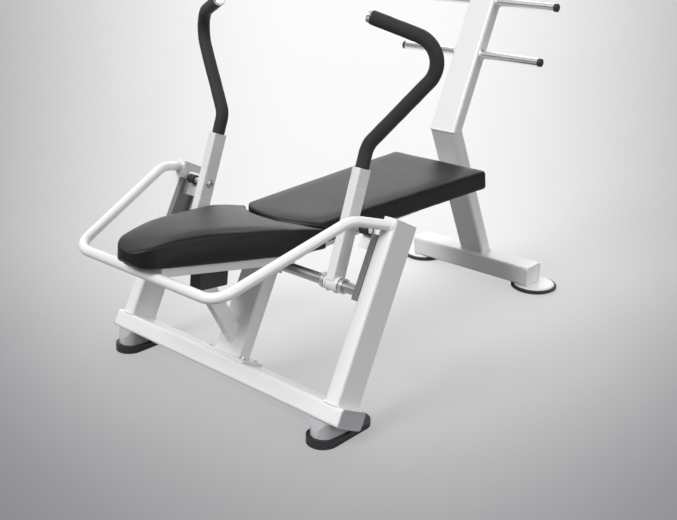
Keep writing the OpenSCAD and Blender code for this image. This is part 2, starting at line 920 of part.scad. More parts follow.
arm_hub(1);  // right_arm_hub
hub_bushes(1);  // right_hub_bushes
handle_bar(1);  // right_handle_bar
foam_grip(1);  // right_foam_grip
grip_cap(1);  // right_grip_cap
stop_bolt(1);  // right_stop_bolt
stop_roller(1);  // right_stop_roller
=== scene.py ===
"""Looks of an abdominal crunch bench with two swinging grip arms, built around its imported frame."""

import json
import logging
import math
from dataclasses import dataclass, field
from enum import Enum
from typing import Callable, Iterable, Mapping, Sequence

import bmesh
import bpy
from mathutils import Matrix, Vector, noise


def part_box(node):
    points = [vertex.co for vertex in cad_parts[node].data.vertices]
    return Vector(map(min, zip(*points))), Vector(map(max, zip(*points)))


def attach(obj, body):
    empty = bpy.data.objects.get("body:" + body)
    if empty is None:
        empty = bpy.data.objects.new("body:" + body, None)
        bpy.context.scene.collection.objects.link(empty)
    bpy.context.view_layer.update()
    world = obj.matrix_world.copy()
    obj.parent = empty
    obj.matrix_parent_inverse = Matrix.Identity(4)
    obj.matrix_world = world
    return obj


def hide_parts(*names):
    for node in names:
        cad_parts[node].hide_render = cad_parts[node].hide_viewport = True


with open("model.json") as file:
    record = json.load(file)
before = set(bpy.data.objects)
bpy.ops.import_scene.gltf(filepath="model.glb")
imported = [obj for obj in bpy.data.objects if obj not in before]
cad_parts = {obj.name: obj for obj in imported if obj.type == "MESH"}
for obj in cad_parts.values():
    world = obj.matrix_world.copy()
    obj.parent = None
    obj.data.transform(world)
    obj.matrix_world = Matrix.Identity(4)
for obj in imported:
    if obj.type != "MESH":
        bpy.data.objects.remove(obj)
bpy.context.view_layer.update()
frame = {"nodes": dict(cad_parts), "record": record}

LOG = logging.getLogger("bench")
FULL_TURN = 2 * math.pi
TINY = 1e-6
WELD_GAP = TINY * 10  # points closer than this are merged
BEND_STEP = 5.0  # degrees of a bend to each of its facets
BOLT = (0.007, 0.005)  # corner radius and height of a small bolt's head
FRAME_BODY = "frame"

Colour = tuple[float, float, float]
Loop = list[Vector]


class Side(Enum):
    """The two sides of the bench, by the sign of X."""

    LEFT = -1
    RIGHT = 1

    @property
    def word(self) -> str:
        """Word that starts this side's names."""
        return self.name.lower()

    @property
    def body(self) -> str:
        """Name of this side's arm body."""
        return f"{self.word}_arm"


class Axis(Enum):
    """Direction along which a metal's marks run."""

    X = 0
    Y = 1
    Z = 2


class Weld(Enum):
    """Section of a weld bead, as steps outwards from the joint and along the tube."""

    FILLET = ((-0.35, -0.3), (1.0, -0.1), (0.72, 0.38), (0.38, 0.72), (-0.1, 1.0))
    BUTT = ((-0.35, -0.9), (0.12, -0.62), (0.4, 0.0), (0.12, 0.62), (-0.35, 0.9))


# ---- shader tools ----


class Wire:
    """A number in a shader, whose Python operators add Math nodes."""

    def __init__(self, shader: "Nodes", socket: bpy.types.NodeSocket) -> None:
        """Wraps an output socket of a shader."""
        self.shader = shader
        self.socket = socket

    def __add__(self, other: "Wire | float") -> "Wire":
        """Sum."""
        return self.shader.maths("ADD", self, other)

    __radd__ = __add__

    def __sub__(self, other: "Wire | float") -> "Wire":
        """Difference."""
        return self.shader.maths("SUBTRACT", self, other)

    def __rsub__(self, other: "Wire | float") -> "Wire":
        """Difference with a number on the left."""
        return self.shader.maths("SUBTRACT", other, self)

    def __mul__(self, other: "Wire | float") -> "Wire":
        """Product."""
        return self.shader.maths("MULTIPLY", self, other)

    __rmul__ = __mul__

    def __truediv__(self, other: "Wire | float") -> "Wire":
        """Quotient."""
        return self.shader.maths("DIVIDE", self, other)

    def __pow__(self, other: "Wire | float") -> "Wire":
        """Power."""
        return self.shader.maths("POWER", self, other)

    def step(self, low: float, high: float) -> "Wire":
        """Smooth step from 0 at low to 1 at high.

        Args:
            low: value that gives 0.
            high: value that gives 1.

        Returns:
            The stepped number.
        """
        made = self.shader.node(
            "ShaderNodeMapRange",
            {"interpolation_type": "SMOOTHSTEP"},
            {"Value": self, "From Min": low, "From Max": high},
        )
        return Wire(self.shader, made.outputs["Result"])


class Nodes:
    """A node tree under construction."""

    def __init__(self, tree: bpy.types.NodeTree, coordinates: str) -> None:
        """Empties a tree.

        Args:
            tree: the node tree.
            coordinates: name of the texture coordinates that its patterns use.
        """
        self.tree = tree
        self.tree.nodes.clear()
        self.place = self.node("ShaderNodeTexCoord").outputs[coordinates]

    def node(
        self,
        kind: str,
        settings: Mapping[str, object] | None = None,
        inputs: Mapping[str | int, object] | None = None,
    ) -> bpy.types.Node:
        """Adds a node.

        Args:
            kind: the node's type.
            settings: its own settings, set first; stops gives a ramp's positions and colours.
            inputs: values or links of its sockets.

        Returns:
            The new node.
        """
        made = self.tree.nodes.new(kind)
        for name, value in (settings or {}).items():
            if name == "stops":
                ramp = made.color_ramp
                while len(ramp.elements) < len(value):
                    ramp.elements.new(1.0)
                for element, (position, colour) in zip(ramp.elements, value):
                    element.position = position
                    element.color = (*colour, 1.0)
            else:
                setattr(made, name, value)
        for name, value in (inputs or {}).items():
            if isinstance(value, Wire):
                value = value.socket
            if isinstance(value, bpy.types.NodeSocket):
                self.tree.links.new(value, made.inputs[name])
            else:
                made.inputs[name].default_value = value
        return made

    def maths(self, operation: str, left: "Wire | float", right: "Wire | float") -> Wire:
        """Adds a Math node.

        Args:
            operation: the node's operation.
            left: first number.
            right: second number.

        Returns:
            The result.
        """
        made = self.node("ShaderNodeMath", {"operation": operation}, {0: left, 1: right})
        return Wire(self, made.outputs[0])

    def stretched(self, scale: Sequence[float], turn: Sequence[float] = (0, 0, 0)) -> bpy.types.NodeSocket:
        """Object coordinates, turned and stretched.

        Args:
            scale: factors along the three axes.
            turn: rotation in radians.

        Returns:
            The mapped coordinates.
        """
        made = self.node(
            "ShaderNodeMapping",
            {"vector_type": "POINT"},
            {"Vector": self.place, "Rotation": tuple(turn), "Scale": tuple(scale)},
        )
        return made.outputs["Vector"]

    def grain(
        self, scale: float, detail: float = 3.0, place: bpy.types.NodeSocket | None = None, swirl: float = 0.0
    ) -> Wire:
        """Noise between 0 and 1.

        Args:
            scale: cells in a metre.
            detail: octaves.
            place: coordinates, or the object's own.
            swirl: distortion.

        Returns:
            The noise.
        """
        made = self.node(
            "ShaderNodeTexNoise",
            {"noise_dimensions": "3D"},
            {"Vector": place or self.place, "Scale": scale, "Detail": detail, "Distortion": swirl},
        )
        return Wire(self, made.outputs["Fac"])

    def cells(self, scale: float, feature: str = "F1", spread: float = 1.0) -> Wire:
        """Voronoi distance.

        Args:
            scale: cells in a metre.
            feature: the node's feature.
            spread: randomness of the cells.

        Returns:
            The distance.
        """
        made = self.node(
            "ShaderNodeTexVoronoi",
            {"feature": feature},
            {"Vector": self.place, "Scale": scale, "Randomness": spread},
        )
        return Wire(self, made.outputs["Distance"])

    def axis(self, which: Axis, place: bpy.types.NodeSocket | None = None) -> Wire:
        """One of the coordinates."""
        made = self.node("ShaderNodeSeparateXYZ", inputs={"Vector": place or self.place})
        return Wire(self, made.outputs[which.value])

    def blend(
        self,
        factor: Wire | float,
        low: "Colour | bpy.types.NodeSocket",
        high: "Colour | bpy.types.NodeSocket",
    ) -> bpy.types.NodeSocket:
        """Mixes two colours.

        Args:
            factor: share of the second colour.
            low: first colour.
            high: second colour.

        Returns:
            The mixed colour.
        """
        low = (*low, 1.0) if isinstance(low, tuple) else low
        high = (*high, 1.0) if isinstance(high, tuple) else high
        made = self.node("ShaderNodeMix", {"data_type": "RGBA"}, {0: factor, 6: low, 7: high})
        return made.outputs[2]


class Shader(Nodes):
    """A material under construction."""

    def __init__(self, name: str) -> None:
        """Starts a material with one Principled shader.

        Args:
            name: the material's name.
        """
        self.material = bpy.data.materials.new(name)
        self.material.use_nodes = True
        super().__init__(self.material.node_tree, "Object")
        self.surface = self.node("ShaderNodeBsdfPrincipled")
        self.node("ShaderNodeOutputMaterial", inputs={"Surface": self.surface.outputs["BSDF"]})

    def bump(self, height: Wire, depth: float, strength: float = 1.0) -> None:
        """Gives the surface a relief.

        Args:
            height: relief between 0 and 1.
            depth: its depth in metres.
            strength: strength of the effect.
        """
        made = self.node(
            "ShaderNodeBump", inputs={"Height": height, "Distance": depth, "Strength": strength}
        )
        self.vary(Normal=made.outputs["Normal"])

    def vary(self, **sockets: "Wire | bpy.types.NodeSocket") -> None:
        """Links varying values to the surface's sockets, an underscore standing for a space.

        Args:
            sockets: values or links by socket name.
        """
        for name, value in sockets.items():
            value = value.socket if isinstance(value, Wire) else value
            self.tree.links.new(value, self.surface.inputs[name.replace("_", " ")])

    def fix(self, **sockets: float) -> None:
        """Sets constants on the surface's sockets, an underscore standing for a space."""
        for name, value in sockets.items():
            self.surface.inputs[name.replace("_", " ")].default_value = value


def scaled(colour: Colour, factor: float) -> Colour:
    """A colour made lighter or darker."""
    return tuple(min(1.0, part * factor) for part in colour)


# ---- finishes ----


@dataclass(frozen=True)
class Finish:
    """A finish of the bench; its name is the record's material slot."""

    name: str
    colour: Colour
    roughness: float

    def material(self) -> bpy.types.Material:
        """Makes the finish's material.

        Returns:
            The material.
        """
        shader = Shader(self.name)
        self.dress(shader)
        return shader.material

    def dress(self, shader: Shader) -> None:
        """Fills the material."""
        raise NotImplementedError


@dataclass(frozen=True)
class Enamel(Finish):
    """Sprayed paint with a fine orange peel, dusty near the floor."""

    metallic: float = 0.0
    coat: float = 0.35
    flake: float = 0.0
    grime: Colour = (0.33, 0.31, 0.28)

    def dress(self, shader: Shader) -> None:
        """Fills the material.

        Args:
            shader: the material under construction.
        """
        tone = shader.grain(2.7, 2.0)
        speck = shader.grain(46.0, 6.0)
        rub = shader.grain(9.0, 5.0, swirl=0.8)
        low = 1.0 - shader.axis(Axis.Z).step(0.0, 0.05)
        dust = low * speck.step(0.42, 0.72)
        colour = shader.blend(tone, scaled(self.colour, 0.965), scaled(self.colour, 1.01))
        colour = shader.blend(dust * 0.1, colour, self.grime)
        peel = shader.grain(520.0, 2.0) + shader.grain(1900.0, 1.0) * (0.25 + self.flake)
        gloss = (rub - 0.5) * 0.12 + dust * 0.1 + self.roughness
        if self.flake:
            glitter = shader.cells(2600.0).step(0.1, 0.5)
            colour = shader.blend(glitter * self.flake, colour, scaled(self.colour, 0.72))
        shader.vary(Base_Color=colour, Roughness=gloss)
        shader.fix(Metallic=self.metallic, Coat_Weight=self.coat, Coat_Roughness=0.12)
        shader.bump(peel, 0.00012, 0.25)


@dataclass(frozen=True)
class Steel(Finish):
    """Bare or plated metal with turning or brushing marks along one axis."""

    marks: Axis = Axis.X
    pitch: float = 1400.0
    mark_depth: float = 0.00004
    tarnish: float = 0.2

    def dress(self, shader: Shader) -> None:
        """Fills the material.

        Args:
            shader: the material under construction.
        """
        scale = [3.0, 3.0, 3.0]
        scale[self.marks.value] = self.pitch
        lines = shader.grain(1.0, 3.0, shader.stretched(scale))
        scale = [90.0, 90.0, 90.0]
        scale[self.marks.value] = 6.0
        scratch = shader.grain(1.0, 4.0, shader.stretched(scale)).step(0.62, 0.7)
        cloud = shader.grain(11.0, 4.0, swirl=0.4)
        colour = shader.blend(cloud * self.tarnish, self.colour, scaled(self.colour, 0.62))
        shader.vary(
            Base_Color=shader.blend(scratch * 0.12, colour, scaled(self.colour, 1.15)),
            Roughness=self.roughness + (lines - 0.5) * 0.1 + scratch * 0.1 + (cloud - 0.5) * 0.08,
        )
        shader.fix(Metallic=1.0)
        shader.bump(lines, self.mark_depth, 0.35)


@dataclass(frozen=True)
class Upholstery(Finish):
    """Vinyl pulled over foam, with a fine leather grain."""

    grain_scale: float = 430.0

    def dress(self, shader: Shader) -> None:
        """Fills the material.

        Args:
            shader: the material under construction.
        """
        edge = shader.cells(self.grain_scale, "DISTANCE_TO_EDGE", 0.95)
        pebble = edge.step(0.0, 0.16)
        fine = shader.grain(1500.0, 2.0)
        cloud = shader.grain(5.0, 3.0, swirl=0.5)
        crease = shader.grain(26.0, 5.0, swirl=1.4)
        scuff = shader.grain(70.0, 6.0).step(0.6, 0.78)
        colour = shader.blend(cloud, scaled(self.colour, 0.82), scaled(self.colour, 1.2))
        # painted shade: darker in the valleys between the grain's pebbles
        colour = shader.blend(1.0 - pebble, colour, scaled(self.colour, 0.45))
        colour = shader.blend(scuff * 0.05, colour, (0.1, 0.098, 0.095))
        gloss = self.roughness + (cloud - 0.5) * 0.1 + (1.0 - pebble) * 0.16 + scuff * 0.08
        shader.vary(Base_Color=colour, Roughness=gloss)
        shader.fix(Specular_IOR_Level=0.37)
        shader.bump(pebble * 0.7 + fine * 0.15 + crease * 0.5, 0.0004, 0.3)


@dataclass(frozen=True)
class Sponge(Finish):
    """Closed-cell foam with a pitted skin."""

    def dress(self, shader: Shader) -> None:
        """Fills the material.

        Args:
            shader: the material under construction.
        """
        pore = shader.cells(760.0).step(0.05, 0.5)
        lump = shader.grain(120.0, 4.0)
        worn = shader.grain(14.0, 4.0, swirl=0.6)
        colour = shader.blend(worn, scaled(self.colour, 0.8), scaled(self.colour, 1.35))
        # painted shade: darker in the pits of the skin
        colour = shader.blend((1.0 - pore) * 0.6, colour, scaled(self.colour, 0.5))
        shader.vary(Base_Color=colour, Roughness=self.roughness + (worn - 0.5) * 0.12)
        shader.fix(Specular_IOR_Level=0.35, Sheen_Weight=0.08, Sheen_Roughness=0.6)
        shader.bump(pore * 0.7 + lump * 0.5, 0.0005, 0.5)


@dataclass(frozen=True)
class Moulded(Finish):
    """Moulded plastic or rubber with a spark-eroded texture."""

    texture: float = 900.0
    texture_depth: float = 0.00018
    specular: float = 0.5

    def dress(self, shader: Shader) -> None:
        """Fills the material.

        Args:
            shader: the material under construction.
        """
        spark = shader.grain(self.texture, 3.0)
        cloud = shader.grain(13.0, 3.0, swirl=0.3)
        scuff = shader.grain(160.0, 6.0).step(0.58, 0.74)
        low = 1.0 - shader.axis(Axis.Z).step(0.0, 0.05)
        colour = shader.blend(cloud, scaled(self.colour, 0.88), scaled(self.colour, 1.1))
        colour = shader.blend(scuff * (low * 0.06 + 0.03), colour, (0.42, 0.4, 0.37))
        shader.vary(Base_Color=colour, Roughness=self.roughness + (cloud - 0.5) * 0.1 + scuff * 0.1)
        shader.fix(Specular_IOR_Level=self.specular)
        shader.bump(spark, self.texture_depth, 0.4)


@dataclass(frozen=True)
class Plywood(Finish):
    """Sanded plywood: long grain on the faces and plies on the edges."""

    ply: float = 0.0024

    def dress(self, shader: Shader) -> None:
        """Fills the material.

        Args:
            shader: the material under construction.
        """
        fibre = shader.grain(1.0, 5.0, shader.stretched((70.0, 4.0, 90.0)))
        ring = shader.grain(1.0, 2.0, shader.stretched((9.0, 0.7, 9.0)), swirl=0.8)
        plies = shader.maths("PINGPONG", shader.axis(Axis.Z), self.ply) * (1.0 / self.ply)
        colour = shader.blend(ring, scaled(self.colour, 0.85), scaled(self.colour, 1.12))
        colour = shader.blend(fibre.step(0.45, 0.75) * 0.4, colour, scaled(self.colour, 0.6))
        colour = shader.blend(plies.step(0.4, 0.6) * 0.25, colour, scaled(self.colour, 0.55))
        shader.vary(Base_Color=colour, Roughness=self.roughness + fibre * 0.15)
        shader.bump(fibre, 0.0002, 0.4)


@dataclass(frozen=True)
class PaleGround(Finish):
    """Studio floor with a faint painted glow and a pool of light painted into its colour, widening towards
    the back.
    """

    dim: Colour = (0.222, 0.222, 0.238)
    far: Colour = (0.6, 0.6, 0.61)
    glow: float = 0.7
    pool_start: tuple[float, float] = (1.93, -2.23)
    pool_turn: float = 0.707
    pool_spread: tuple[float, float] = (0.4, 0.5)
    pool_depth: tuple[float, float] = (4.0, 3.0)
    pool_fade: tuple[float, float] = (0.1, 1.0)
    far_fade: tuple[float, float] = (1.4, 3.2)

    def dress(self, shader: Shader) -> None:
        """Fills the material.

        Args:
            shader: the material under construction.
        """
        across = (math.cos(self.pool_turn), math.sin(self.pool_turn))
        x = shader.axis(Axis.X) - self.pool_start[0]
        y = shader.axis(Axis.Y) - self.pool_start[1]
        ahead = shader.maths("MAXIMUM", y * across[0] - x * across[1], 0.1)
        wide = (x * across[0] + y * across[1]) / (ahead * self.pool_spread[1] + self.pool_spread[0])
        near = shader.maths("MINIMUM", ahead - self.pool_depth[0], 0.0) / self.pool_depth[1]
        away = (wide * wide + near * near) ** 0.5
        mottle = shader.grain(1.3, 2.0) * 0.02
        # painted pool of light: brighter colour inside the pool, painted dimness outside it
        colour = shader.blend((away + mottle).step(*self.pool_fade), self.colour, self.dim)
        colour = shader.blend(away.step(*self.far_fade), colour, self.far)
        shade = shader.blend(1.0 - self.glow, (0.0, 0.0, 0.0), colour)
        shader.vary(
            Base_Color=shade, Emission_Color=colour,
            Roughness=self.roughness + shader.grain(30.0, 3.0) * 0.05,
        )
        shader.fix(Specular_IOR_Level=0.1, Emission_Strength=self.glow)


FINISHES: tuple[Finish, ...] = (
    Enamel("frame_paint", (0.87, 0.87, 0.875), 0.3),
    Enamel("arm_paint", (0.9, 0.9, 0.905), 0.28, metallic=0.1, coat=0.4, flake=0.06),
    # bracket_steel: dark grey, partly the steel's own colour and partly painted shade of the brackets' shaded
    # edges
    Enamel("bracket_steel", (0.26, 0.26, 0.265), 0.42, metallic=0.25, coat=0.1),
    Steel("shaft_steel", (0.58, 0.58, 0.59), 0.36),
    Steel("peg_chrome", (0.92, 0.92, 0.93), 0.24, mark_depth=0.00001, tarnish=0.1),
    Steel("zinc_hardware", (0.78, 0.78, 0.79), 0.36, marks=Axis.Z, pitch=260.0),
    Steel("bush_bronze", (0.5, 0.36, 0.19), 0.42, tarnish=0.5),
    Upholstery("vinyl", (0.0045, 0.0044, 0.0043), 0.38),
    Plywood("ply_board", (0.2, 0.15, 0.1), 0.6),
    Sponge("foam", (0.022, 0.022, 0.023), 0.72),
    Moulded("black_rubber", (0.018, 0.018, 0.019), 0.55, texture=620.0),
    Moulded("cap_plastic", (0.47, 0.48, 0.5), 0.42),
    Moulded("light_plastic", (0.95, 0.95, 0.94), 0.4),
    Moulded("black_plastic", (0.02, 0.02, 0.021), 0.4),
)


# ---- shapes ----


def turned(axis: str, degrees: float) -> Matrix:
    """Rotation about one of the axes."""
    return Matrix.Rotation(math.radians(degrees), 4, axis)


def moved(x: float, y: float, z: float) -> Matrix:
    """Translation."""
    return Matrix.Translation((x, y, z))


ALONG_X = turned("Y", 90)
ALONG_Y = turned("X", -90)


def from_lowest(loop: Loop) -> Loop:
    """The same closed loop from its lowest corner, so that every run starts its bead there."""
    start = min(range(len(loop)), key=lambda k: [round(part, 5) for part in reversed(loop[k])])
    return loop[start:] + loop[:start]


class Shape:
    """A mesh on its way to becoming a piece, in metres."""

    def __init__(self) -> None:
        """Starts empty."""
        self.mesh = bmesh.new()

    @classmethod
    def block(cls, low: Sequence[float], high: Sequence[float]) -> "Shape":
        """A box from its low to its high corner.

        Args:
            low: lowest corner.
            high: highest corner.

        Returns:
            The shape.
        """
        shape = cls()
        size = [b - a for a, b in zip(low, high)]
        centre = [(a + b) / 2 for a, b in zip(low, high)]
        place = moved(*centre) @ Matrix.Diagonal((*size, 1.0))
        bmesh.ops.create_cube(shape.mesh, size=1.0, matrix=place)
        return shape

    @classmethod
    def tube(cls, width: float, depth: float, length: float, corner: float, segments: int = 5) -> "Shape":
        """A rectangular tube along Z from 0, centred on the axis.

        Args:
            width: size along X.
            depth: size along Y.
            length: size along Z.
            corner: radius of the long edges.
            segments: facets of each long edge.

        Returns:
            The tube, closed at both ends.
        """
        shape = cls.block((-width / 2, -depth / 2, 0), (width / 2, depth / 2, length))
        upright = [e for e in shape.mesh.edges if abs(e.verts[0].co.z - e.verts[1].co.z) > length / 2]
        shape.bevel(upright, corner, segments)
        return shape

    @classmethod
    def lathe(cls, profile: Sequence[tuple[float, float]], segments: int = 48) -> "Shape":
        """A turned solid about Z.

        Args:
            profile: radius and height of each corner, from bottom to top.
            segments: facets of a full turn.

        Returns:
            The solid, with its poles merged.
        """
        shape = cls()
        bm = shape.mesh
        line = [bm.verts.new((radius, 0.0, height)) for radius, height in profile]
        edges = [bm.edges.new(pair) for pair in zip(line, line[1:])]
        bmesh.ops.spin(
            bm, geom=line + edges, cent=(0, 0, 0), axis=(0, 0, 1),
            angle=FULL_TURN, steps=segments, use_merge=True,
        )
        bmesh.ops.remove_doubles(bm, verts=bm.verts, dist=WELD_GAP)
        bmesh.ops.recalc_face_normals(bm, faces=bm.faces)
        return shape

    @classmethod
    def sweep(
        cls, path: Sequence[Vector], bends: Sequence[float], radius: float, sides: int = 28, run: float = 0.03
    ) -> "Shape":
        """A round bar along straight runs and bends.

        Args:
            path: corners of the centre line.
            bends: radius of each bend.
            radius: radius of the bar.
            sides: facets round the bar.
            run: longest step of a straight run.

        Returns:
            The bar, closed at both ends.
        """
        shape = cls()
        bm = shape.mesh
        heading = (path[1] - path[0]).normalized()
        place = Matrix.Translation(path[0]) @ heading.to_track_quat("Z", "Y").to_matrix().to_4x4()
        bmesh.ops.create_circle(bm, cap_ends=True, segments=sides, radius=radius, matrix=place)
        ring = bm.edges[:]
        here = path[0]
        for index in range(1, len(path)):
            heading = (path[index] - path[index - 1]).normalized()
            angle, end = 0.0, path[index]
            if index < len(path) - 1:
                onward = (path[index + 1] - path[index]).normalized()
                angle = heading.angle(onward)
                end = path[index] - heading * bends[index - 1] * math.tan(angle / 2)
            steps = max(1, math.ceil((end - here).length / run))
            for _ in range(steps):
                out = bmesh.ops.extrude_edge_only(bm, edges=ring)["geom"]
                ring = [g for g in out if isinstance(g, bmesh.types.BMEdge)]
                ends = [g for g in out if isinstance(g, bmesh.types.BMVert)]
                bmesh.ops.translate(bm, vec=(end - here) / steps, verts=ends)
            here = end
            if angle:
                axis = heading.cross(onward).normalized()
                centre = end + axis.cross(heading) * bends[index - 1]
                steps = max(4, math.ceil(math.degrees(angle) / BEND_STEP))
                out = bmesh.ops.spin(
                    bm, geom=ring, cent=centre, axis=axis, angle=angle, steps=steps
                )["geom_last"]
                ring = [g for g in out if isinstance(g, bmesh.types.BMEdge)]
                here = path[index] + onward * (path[index] - end).length
        bmesh.ops.contextual_create(bm, geom=ring)
        bmesh.ops.remove_doubles(bm, verts=bm.verts, dist=WELD_GAP)
        bmesh.ops.recalc_face_normals(bm, faces=bm.faces)
        return shape

    @classmethod
    def bead(cls, loop: Loop, normal: Vector, size: float, weld: Weld = Weld.FILLET) -> "Shape":
        """A rippled weld bead along a closed joint.

        Args:
            loop: corners of the joint line, in order.
            normal: direction from the base up the tube.
            size: leg of the bead.
            weld: its section.

        Returns:
            The closed bead.
        """
        shape = cls()
        bm = shape.mesh
        pairs = list(zip(loop, loop[1:] + loop[:1]))
        total = sum((b - a).length for a, b in pairs)
        count = 4 * max(8, round(total / (size * 1.9)))
        points: Loop = []
        tangents: Loop = []
        for k in range(count):
            want = total * k / count
            for a, b in pairs:
                span = (b - a).length
                if want <= span:
                    points.append(a.lerp(b, want / max(span, TINY)))
                    tangents.append((b - a).normalized())
                    break
                want -= span
        middle = sum(points, Vector()) / len(points)
        outward = []
        for k, point in enumerate(points):
            along = tangents[k - 1] + tangents[k] + tangents[(k + 1) % len(points)]
            side = along.cross(normal).normalized()
            outward.append(side if side.dot(point - middle) > 0 else -side)
        rows = []
        for out, up in weld.value:
            ring = bmesh.ops.create_circle(bm, cap_ends=False, segments=count, radius=1.0)["verts"]
            rows.append(list({edge for vert in ring for edge in vert.link_edges}))
            for k, vert in enumerate(ring):
                wave = 0.16 * math.cos(k * FULL_TURN / 4) + 0.06 * noise.noise(points[k] * 190)
                ripple = 1.0 + wave * (out > 0)
                vert.co = points[k] + (outward[k] * out + normal * up) * size * ripple
        for low, high in zip(rows, rows[1:] + rows[:1]):
            bmesh.ops.bridge_loops(bm, edges=low + high)
        bmesh.ops.recalc_face_normals(bm, faces=bm.faces)
        return shape

    @classmethod
    def hex_bolt(cls, radius: float, height: float, washer: float = 0.0015, tail: float = 0.0) -> "Shape":
        """A hexagon bolt head on its washer, standing on Z = 0.

        Args:
            radius: corner radius of the hexagon.
            height: height of the head.
            washer: thickness of the washer.
            tail: length of shank below Z = 0.

        Returns:
            The bolt.
        """
        head = cls()
        bmesh.ops.create_cone(
            head.mesh, cap_ends=True, segments=6, radius1=radius, radius2=radius, depth=height,
            matrix=moved(0, 0, washer + height / 2),
        )
        head.round_edges(radius * 0.09, 2)
        crown = cls.lathe([
            (0.0, washer + height), (radius * 0.78, washer + height), (radius * 0.7, washer + height * 1.08),
            (0.0, washer + height * 1.08),
        ], 24)
        ring = cls.lathe([(0.0, 0.0), (radius * 1.25, 0.0), (radius * 1.25, washer), (0.0, washer)], 32)
        ring.round_edges(washer * 0.25, 1)
        head.add(crown).add(ring)
        if tail:
            shank = radius * 0.5
            head.add(cls.lathe([
                (0.0, -tail), (shank * 0.8, -tail), (shank, -tail * 0.9), (shank, 0.0), (0.0, 0.0),
            ], 20))
        return head

    def bevel(self, edges: Iterable[bmesh.types.BMEdge], width: float, segments: int) -> "Shape":
        """Rounds some edges.

        Args:
            edges: edges to bevel.
            width: the bevel's width.
            segments: number of segments.

        Returns:
            This shape.
        """
        bmesh.ops.bevel(
            self.mesh, geom=list(edges), offset=width, offset_type="OFFSET", segments=segments,
            profile=0.5, affect="EDGES", clamp_overlap=True, material=-1,
        )
        return self

    def round_edges(self, width: float, segments: int = 2, angle: float = 35.0) -> "Shape":
        """Rounds every edge sharper than an angle in degrees.

        Args:
            width: the bevel's width.
            segments: number of segments.
            angle: smallest angle between faces, in degrees, that counts as an edge.

        Returns:
            This shape.
        """
        limit = math.radians(angle)
        sharp = [e for e in self.mesh.edges if len(e.link_faces) == 2 and e.calc_face_angle(0.0) > limit]
        return self.bevel(sharp, width, segments)

    def slice(self, point: Vector, normal: Vector) -> list[Loop]:
        """Cuts away what lies beyond a plane and closes the cut.

        Args:
            point: a point of the plane.
            normal: its normal, towards what goes.

        Returns:
            The outline of each cut face.
        """
        bm = self.mesh
        geom = bm.verts[:] + bm.edges[:] + bm.faces[:]
        out = bmesh.ops.bisect_plane(
            bm, geom=geom, dist=TINY, plane_co=point, plane_no=normal, clear_outer=True
        )["geom_cut"]
        edges = [g for g in out if isinstance(g, bmesh.types.BMEdge)]
        made = bmesh.ops.holes_fill(bm, edges=edges, sides=0)["faces"]
        return [[vert.co.copy() for vert in face.verts] for face in made]

    def score(self, point: Sequence[float], normal: Sequence[float]) -> None:
        """Cuts the faces along a plane and leaves both sides.

        Args:
            point: a point of the plane.
            normal: the plane's normal.
        """
        bm = self.mesh
        geom = bm.verts[:] + bm.edges[:] + bm.faces[:]
        bmesh.ops.bisect_plane(bm, geom=geom, dist=TINY, plane_co=point, plane_no=normal)

    def outlines(self, point: Vector, normal: Vector) -> list[Loop]:
        """Outlines of the shape in a plane, with the shape itself left whole.

        Args:
            point: a point of the plane.
            normal: the plane's normal.

        Returns:
            The closed loops of the cut.
        """
        copy = Shape()
        copy.mesh = self.mesh.copy()
        loops = copy.slice(point, normal)
        copy.mesh.free()
        return loops

    def move(self, place: Matrix) -> "Shape":
        """Transforms the shape; a mirrored one has its faces turned round.

        Args:
            place: the transform.

        Returns:
            This shape.
        """
        bmesh.ops.transform(self.mesh, matrix=place, verts=self.mesh.verts)
        if place.determinant() < 0:
            bmesh.ops.reverse_faces(self.mesh, faces=self.mesh.faces)
        return self

    def copy(self) -> "Shape":
        """A copy of the shape.

        Returns:
            The copy.
        """
        twin = Shape()
        twin.mesh = self.mesh.copy()
        return twin

    def add(self, other: "Shape") -> "Shape":
        """Joins another shape to this one and uses it up.

        Args:
            other: the shape that is added.

        Returns:
            This shape.
        """
        held = bpy.data.meshes.new("held")
        other.mesh.to_mesh(held)
        other.mesh.free()
        self.mesh.from_mesh(held)
        bpy.data.meshes.remove(held)
        return self

    def both_sides(self) -> "Shape":
        """Adds the shape's mirror image across X = 0."""
        return self.add(self.copy().move(Matrix.Diagonal((-1, 1, 1, 1))))

    def ruffle(self, size: float, scale: float) -> "Shape":
        """Moves every point a little along its normal by smooth noise.

        Args:
            size: largest push.
            scale: the pattern's scale.

        Returns:
            This shape.
        """
        self.mesh.normal_update()
        for vert in self.mesh.verts:
            vert.co += vert.normal * noise.noise(vert.co * scale) * size
        return self


# ---- workshop ----


